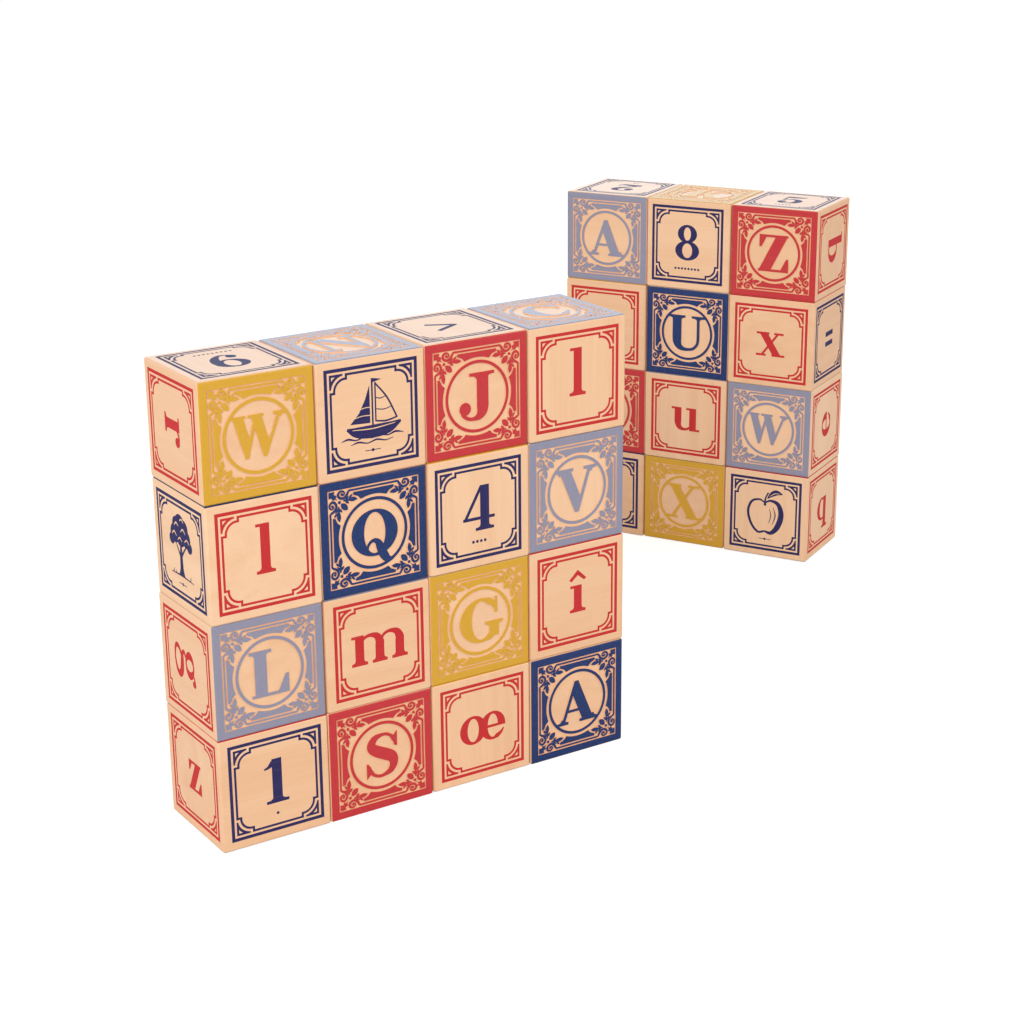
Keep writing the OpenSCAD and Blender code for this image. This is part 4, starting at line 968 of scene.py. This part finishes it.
def block_piece(block, turn, rng):
    """The dressed block that stands for a CAD node, at that node's place and its wall's turn."""
    low, high = (np.array(corner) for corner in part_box(block))
    letter, near, far, *prints = BLOCKS[block].split()
    column, row = (int(part[1:]) for part in block.split("_")[2:])
    in_front = (column + row) % 2 == 1
    side = (high - low)[2] / MM
    points, tris, paint, smooth = block_mesh((letter, near), far, prints, in_front, rng, side)
    around = np.array([(math.cos(turn), math.sin(turn), 0), (-math.sin(turn), math.cos(turn), 0), (0, 0, 1)])
    mesh = bpy.data.meshes.new(block + "_dressed")
    mesh.vertices.add(len(points))
    mesh.vertices.foreach_set("co", (points @ around * MM + (low + high) / 2).ravel())
    mesh.loops.add(tris.size)
    mesh.loops.foreach_set("vertex_index", tris.ravel().astype(np.int32))
    mesh.polygons.add(len(tris))
    mesh.polygons.foreach_set("loop_start", np.arange(0, tris.size, 3, dtype=np.int32))
    for material in MATERIALS.values():
        mesh.materials.append(material)
    index = (paint[:, None] == np.array(list(MATERIALS))).argmax(1)
    mesh.polygons.foreach_set("material_index", index.astype(np.int32))
    mesh.polygons.foreach_set("use_smooth", smooth)
    mesh.update(calc_edges=True)
    grain = np.roll(points, -int(rng.integers(3)), 1) + rng.uniform(-GRAIN_REACH, GRAIN_REACH, 3)
    mesh.attributes.new("grain", "FLOAT_VECTOR", "POINT").data.foreach_set("vector", grain.ravel())
    tone = np.full(len(points), rng.normal())
    mesh.attributes.new("tone", "FLOAT", "POINT").data.foreach_set("value", tone)
    piece = bpy.data.objects.new(block + "_dressed", mesh)
    bpy.context.scene.collection.objects.link(piece)
    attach(piece, block)
    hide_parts(block)
    return piece


def linear(code):
    """The linear colour, with full alpha, of an sRGB hex code."""
    share = np.array([int(code[i:i + 2], 16) for i in (1, 3, 5)]) / 255
    return (*np.where(share <= 0.04045, share / 12.92, ((share + 0.055) / 1.055) ** 2.4), 1.0)


def node(tree, kind, inputs=None, **settings):
    """Adds one node. An input is a socket to link from, or the value that it is set to."""
    made = tree.nodes.new(kind)
    for name, value in settings.items():
        setattr(made, name, value)
    for key, value in (inputs or {}).items():
        if isinstance(value, bpy.types.NodeSocket):
            tree.links.new(value, made.inputs[key])
        else:
            made.inputs[key].default_value = value
    return made


def new_material(name):
    """An empty node material and its tree."""
    material = bpy.data.materials.new(name)
    material.use_nodes = True
    material.node_tree.nodes.clear()
    return material, material.node_tree


def weighed(tree, value, weight, more):
    """The value times its weight, plus more."""
    return node(tree, "ShaderNodeMath", {0: value, 1: weight, 2: more}, operation="MULTIPLY_ADD").outputs[0]


def noise(tree, grain, size, **inputs):
    """Noise whose features have that size along the grain and in the two ways across it."""
    drawn_out = node(tree, "ShaderNodeMapping", {"Vector": grain, "Scale": [1 / length for length in size]})
    inputs.update({"Vector": drawn_out.outputs["Vector"], "Scale": 1.0})
    return node(tree, "ShaderNodeTexNoise", inputs).outputs["Fac"]


def fibre(tree):
    """The block's own grain space in millimetres, and fine streaks along it."""
    grain = node(tree, "ShaderNodeAttribute", attribute_name="grain").outputs["Vector"]
    return grain, noise(tree, grain, STREAK_SIZE, Detail=3.0, Roughness=0.6)


def coated(tree, streak, share, first, second, ridges, roughness, sheen):
    """Makes the surface: a first colour with a share of a second, ridged by the streaks, under a coat."""
    colour = node(tree, "ShaderNodeMix", {0: share, 6: linear(first), 7: linear(second)}, data_type="RGBA")
    bump = node(tree, "ShaderNodeBump", {"Height": streak, "Strength": ridges, "Distance": RIDGE_HEIGHT})
    surface = node(tree, "ShaderNodeBsdfPrincipled", {"Base Color": colour.outputs[2],
        "Roughness": roughness, "Normal": bump.outputs["Normal"], "Specular IOR Level": sheen / 5,
        "Coat Weight": sheen, "Coat Roughness": 0.3})
    node(tree, "ShaderNodeOutputMaterial", {"Surface": surface.outputs["BSDF"]})


def basswood():
    """Sanded basswood under a thin satin varnish.

    To the eye: a pale, warm, even wood with faint fine streaks, slow broad bands of growth
    and a few short brown flecks, a little different from block to block.
    """
    material, tree = new_material("basswood_satin_varnish")
    grain, streak = fibre(tree)
    band = noise(tree, grain, BAND_SIZE, Detail=1.0, Distortion=0.6)
    fleck = noise(tree, grain, FLECK_SIZE, Detail=1.0)
    tone = node(tree, "ShaderNodeAttribute", attribute_name="tone").outputs["Fac"]
    speck = node(tree, "ShaderNodeMapRange", {"Value": fleck, "From Min": 0.70, "From Max": 0.80,
        "To Min": 0.0, "To Max": 0.25})
    # Share of the dark wood: the streaks about their middle, the bands, the block's tone, the flecks
    shade = weighed(tree, streak, 0.55, -0.55 / 2)
    shade = weighed(tree, band, 0.8, shade)
    shade = weighed(tree, tone, 0.10, shade)
    blend = node(tree, "ShaderNodeMath", {0: shade, 1: speck.outputs["Result"]}, operation="ADD",
        use_clamp=True)
    shine = node(tree, "ShaderNodeMapRange", {"Value": streak, "To Min": 0.42, "To Max": 0.55})
    coated(tree, streak, blend.outputs[0], WOOD_LIGHT, WOOD_DARK, ridges=0.25,
        roughness=shine.outputs["Result"], sheen=0.5)
    return material


def printers_ink(name, code, worn, sheen):
    """Ink on wood: paint rolled on the carved lands has a satin sheen, and print sinks in and is matt.

    To the eye: a flat colour that thins a little along the wood's streaks.
    """
    material, tree = new_material(name)
    _, streak = fibre(tree)
    thin = node(tree, "ShaderNodeMapRange", {"Value": streak, "From Min": 0.45, "From Max": 0.85,
        "To Min": 0.0, "To Max": worn})
    coated(tree, streak, thin.outputs["Result"], code, WOOD_LIGHT, ridges=0.2, roughness=0.48, sheen=sheen)
    return material


def studio_floor():
    """A plain white floor: to the camera it is white away from the blocks, and keeps their shadow."""
    material, tree = new_material("studio_floor_paint")
    path = node(tree, "ShaderNodeLightPath")
    plain = node(tree, "ShaderNodeBsdfDiffuse", {"Color": (FLOOR_PLAIN, FLOOR_PLAIN, FLOOR_PLAIN, 1.0)})
    seen = node(tree, "ShaderNodeBsdfDiffuse", {"Color": (FLOOR_SHADE, FLOOR_SHADE, FLOOR_SHADE, 1.0)})
    glow = node(tree, "ShaderNodeEmission", {"Strength": FLOOR_GLOW})
    white = node(tree, "ShaderNodeAddShader", {0: seen.outputs["BSDF"], 1: glow.outputs["Emission"]})
    both = node(tree, "ShaderNodeMixShader", {0: path.outputs["Is Camera Ray"], 1: plain.outputs["BSDF"],
        2: white.outputs["Shader"]})
    node(tree, "ShaderNodeOutputMaterial", {"Surface": both.outputs["Shader"]})
    return material


def floor_piece(half, height):
    """A flat square under the blocks."""
    mesh = bpy.data.meshes.new("floor")
    flat = np.column_stack([square(half), np.full(4, height)])
    mesh.from_pydata(flat.tolist(), [], [(0, 1, 2, 3)])
    mesh.materials.append(studio_floor())
    floor = bpy.data.objects.new("floor", mesh)
    bpy.context.scene.collection.objects.link(floor)
    return floor


def soft_light(name, place, target, size, power, colour):
    """A square panel light that looks from its place to its target."""
    data = bpy.data.lights.new(name, "AREA")
    data.shape = "SQUARE"
    data.size = size
    data.energy = power
    data.color = linear(colour)[:3]
    lamp = bpy.data.objects.new(name, data)
    lamp.location = place
    lamp.visible_camera = False
    lamp.rotation_euler = (Vector(target) - Vector(place)).to_track_quat("-Z", "Y").to_euler()
    bpy.context.scene.collection.objects.link(lamp)
    return lamp


def white_room():
    """Even white surroundings: full white where they are seen or mirrored, softer as a light."""
    world = bpy.data.worlds.new("white_room")
    world.use_nodes = True
    tree = world.node_tree
    tree.nodes.clear()
    path = node(tree, "ShaderNodeLightPath")
    level = weighed(tree, path.outputs["Is Diffuse Ray"], ROOM_LIGHT - 1.0, 1.0)
    sky = node(tree, "ShaderNodeBackground", {"Color": (1.0, 1.0, 1.0, 1.0), "Strength": level})
    node(tree, "ShaderNodeOutputWorld", {"Surface": sky.outputs["Background"]})
    bpy.context.scene.world = world


def photo_camera():
    """The camera at the photo's point of view: turned to its azimuth, tilted down, and rolled."""
    azimuth, tilt, roll = (math.radians(angle) for angle in CAMERA_ANGLES)
    level = math.cos(tilt)
    look = np.array([-math.sin(azimuth) * level, math.cos(azimuth) * level, -math.sin(tilt)])
    right = np.array([math.cos(azimuth), math.sin(azimuth), 0])
    up = np.cross(right, look)
    rolled = math.cos(roll) * right + math.sin(roll) * up
    upright = math.cos(roll) * up - math.sin(roll) * right
    data = bpy.data.cameras.new("camera")
    data.sensor_width = 36.0
    data.lens = CAMERA_LENS
    data.clip_start = 0.01
    camera = bpy.data.objects.new("camera", data)
    axes = np.column_stack([rolled, upright, -look]).tolist()
    camera.matrix_world = Matrix.Translation(Vector(CAMERA_PLACE) * MM) @ Matrix(axes).to_4x4()
    bpy.context.scene.collection.objects.link(camera)
    bpy.context.scene.camera = camera


DESIGNS = {}
MATERIALS = {
    BARE: basswood(),
    "yellow": printers_ink("ochre_yellow_paint", "#D6A52F", 0.08, 0.5),
    "red": printers_ink("red_paint", "#C3323A", 0.03, 0.5),
    "blue": printers_ink("dark_blue_paint", "#10316A", 0.03, 0.5),
    "sky": printers_ink("grey_blue_paint", "#8E90A8", 0.08, 0.5),
    "brick": printers_ink("red_print_ink", "#C63539", 0.03, 0.1),
    "navy": printers_ink("navy_print_ink", "#313060", 0.03, 0.1),
}
rng = np.random.default_rng(SEED)

# Foot blocks slide straight out of their wall, so the axes of their slides give each wall's turn
slides = {joint["name"].split("_")[0]: joint["axis"] for joint in frame["joints"]
    if abs(joint["axis"][2]) < 0.5}
for name in BLOCKS:
    across, towards, _ = slides[name.split("_")[0]]
    block_piece(name, math.atan2(across, -towards), rng)

floor = floor_piece(FLOOR_HALF, FLOOR_LEVEL)
key = soft_light("key_panel", (-1.25, -1.25, 1.0), (0, 0, 0.08), 1.0, 17.4, "#FFFAF4")
fill = soft_light("fill_panel", (1.4, -1.5, 0.9), (0, 0, 0.08), 1.0, 11.5, "#FFEEDD")
beside = soft_light("side_panel", (-1.6, 0.3, 0.5), (0, 0, 0.08), 1.0, 4.6, "#FFEEDD")
behind = soft_light("back_panel", (0.83, 1.27, 0.6), (0, 0, 0.1), 1.1, 5.4, "#DDEEFF")
white_room()
photo_camera()
bpy.context.scene.view_settings.view_transform = "Standard"
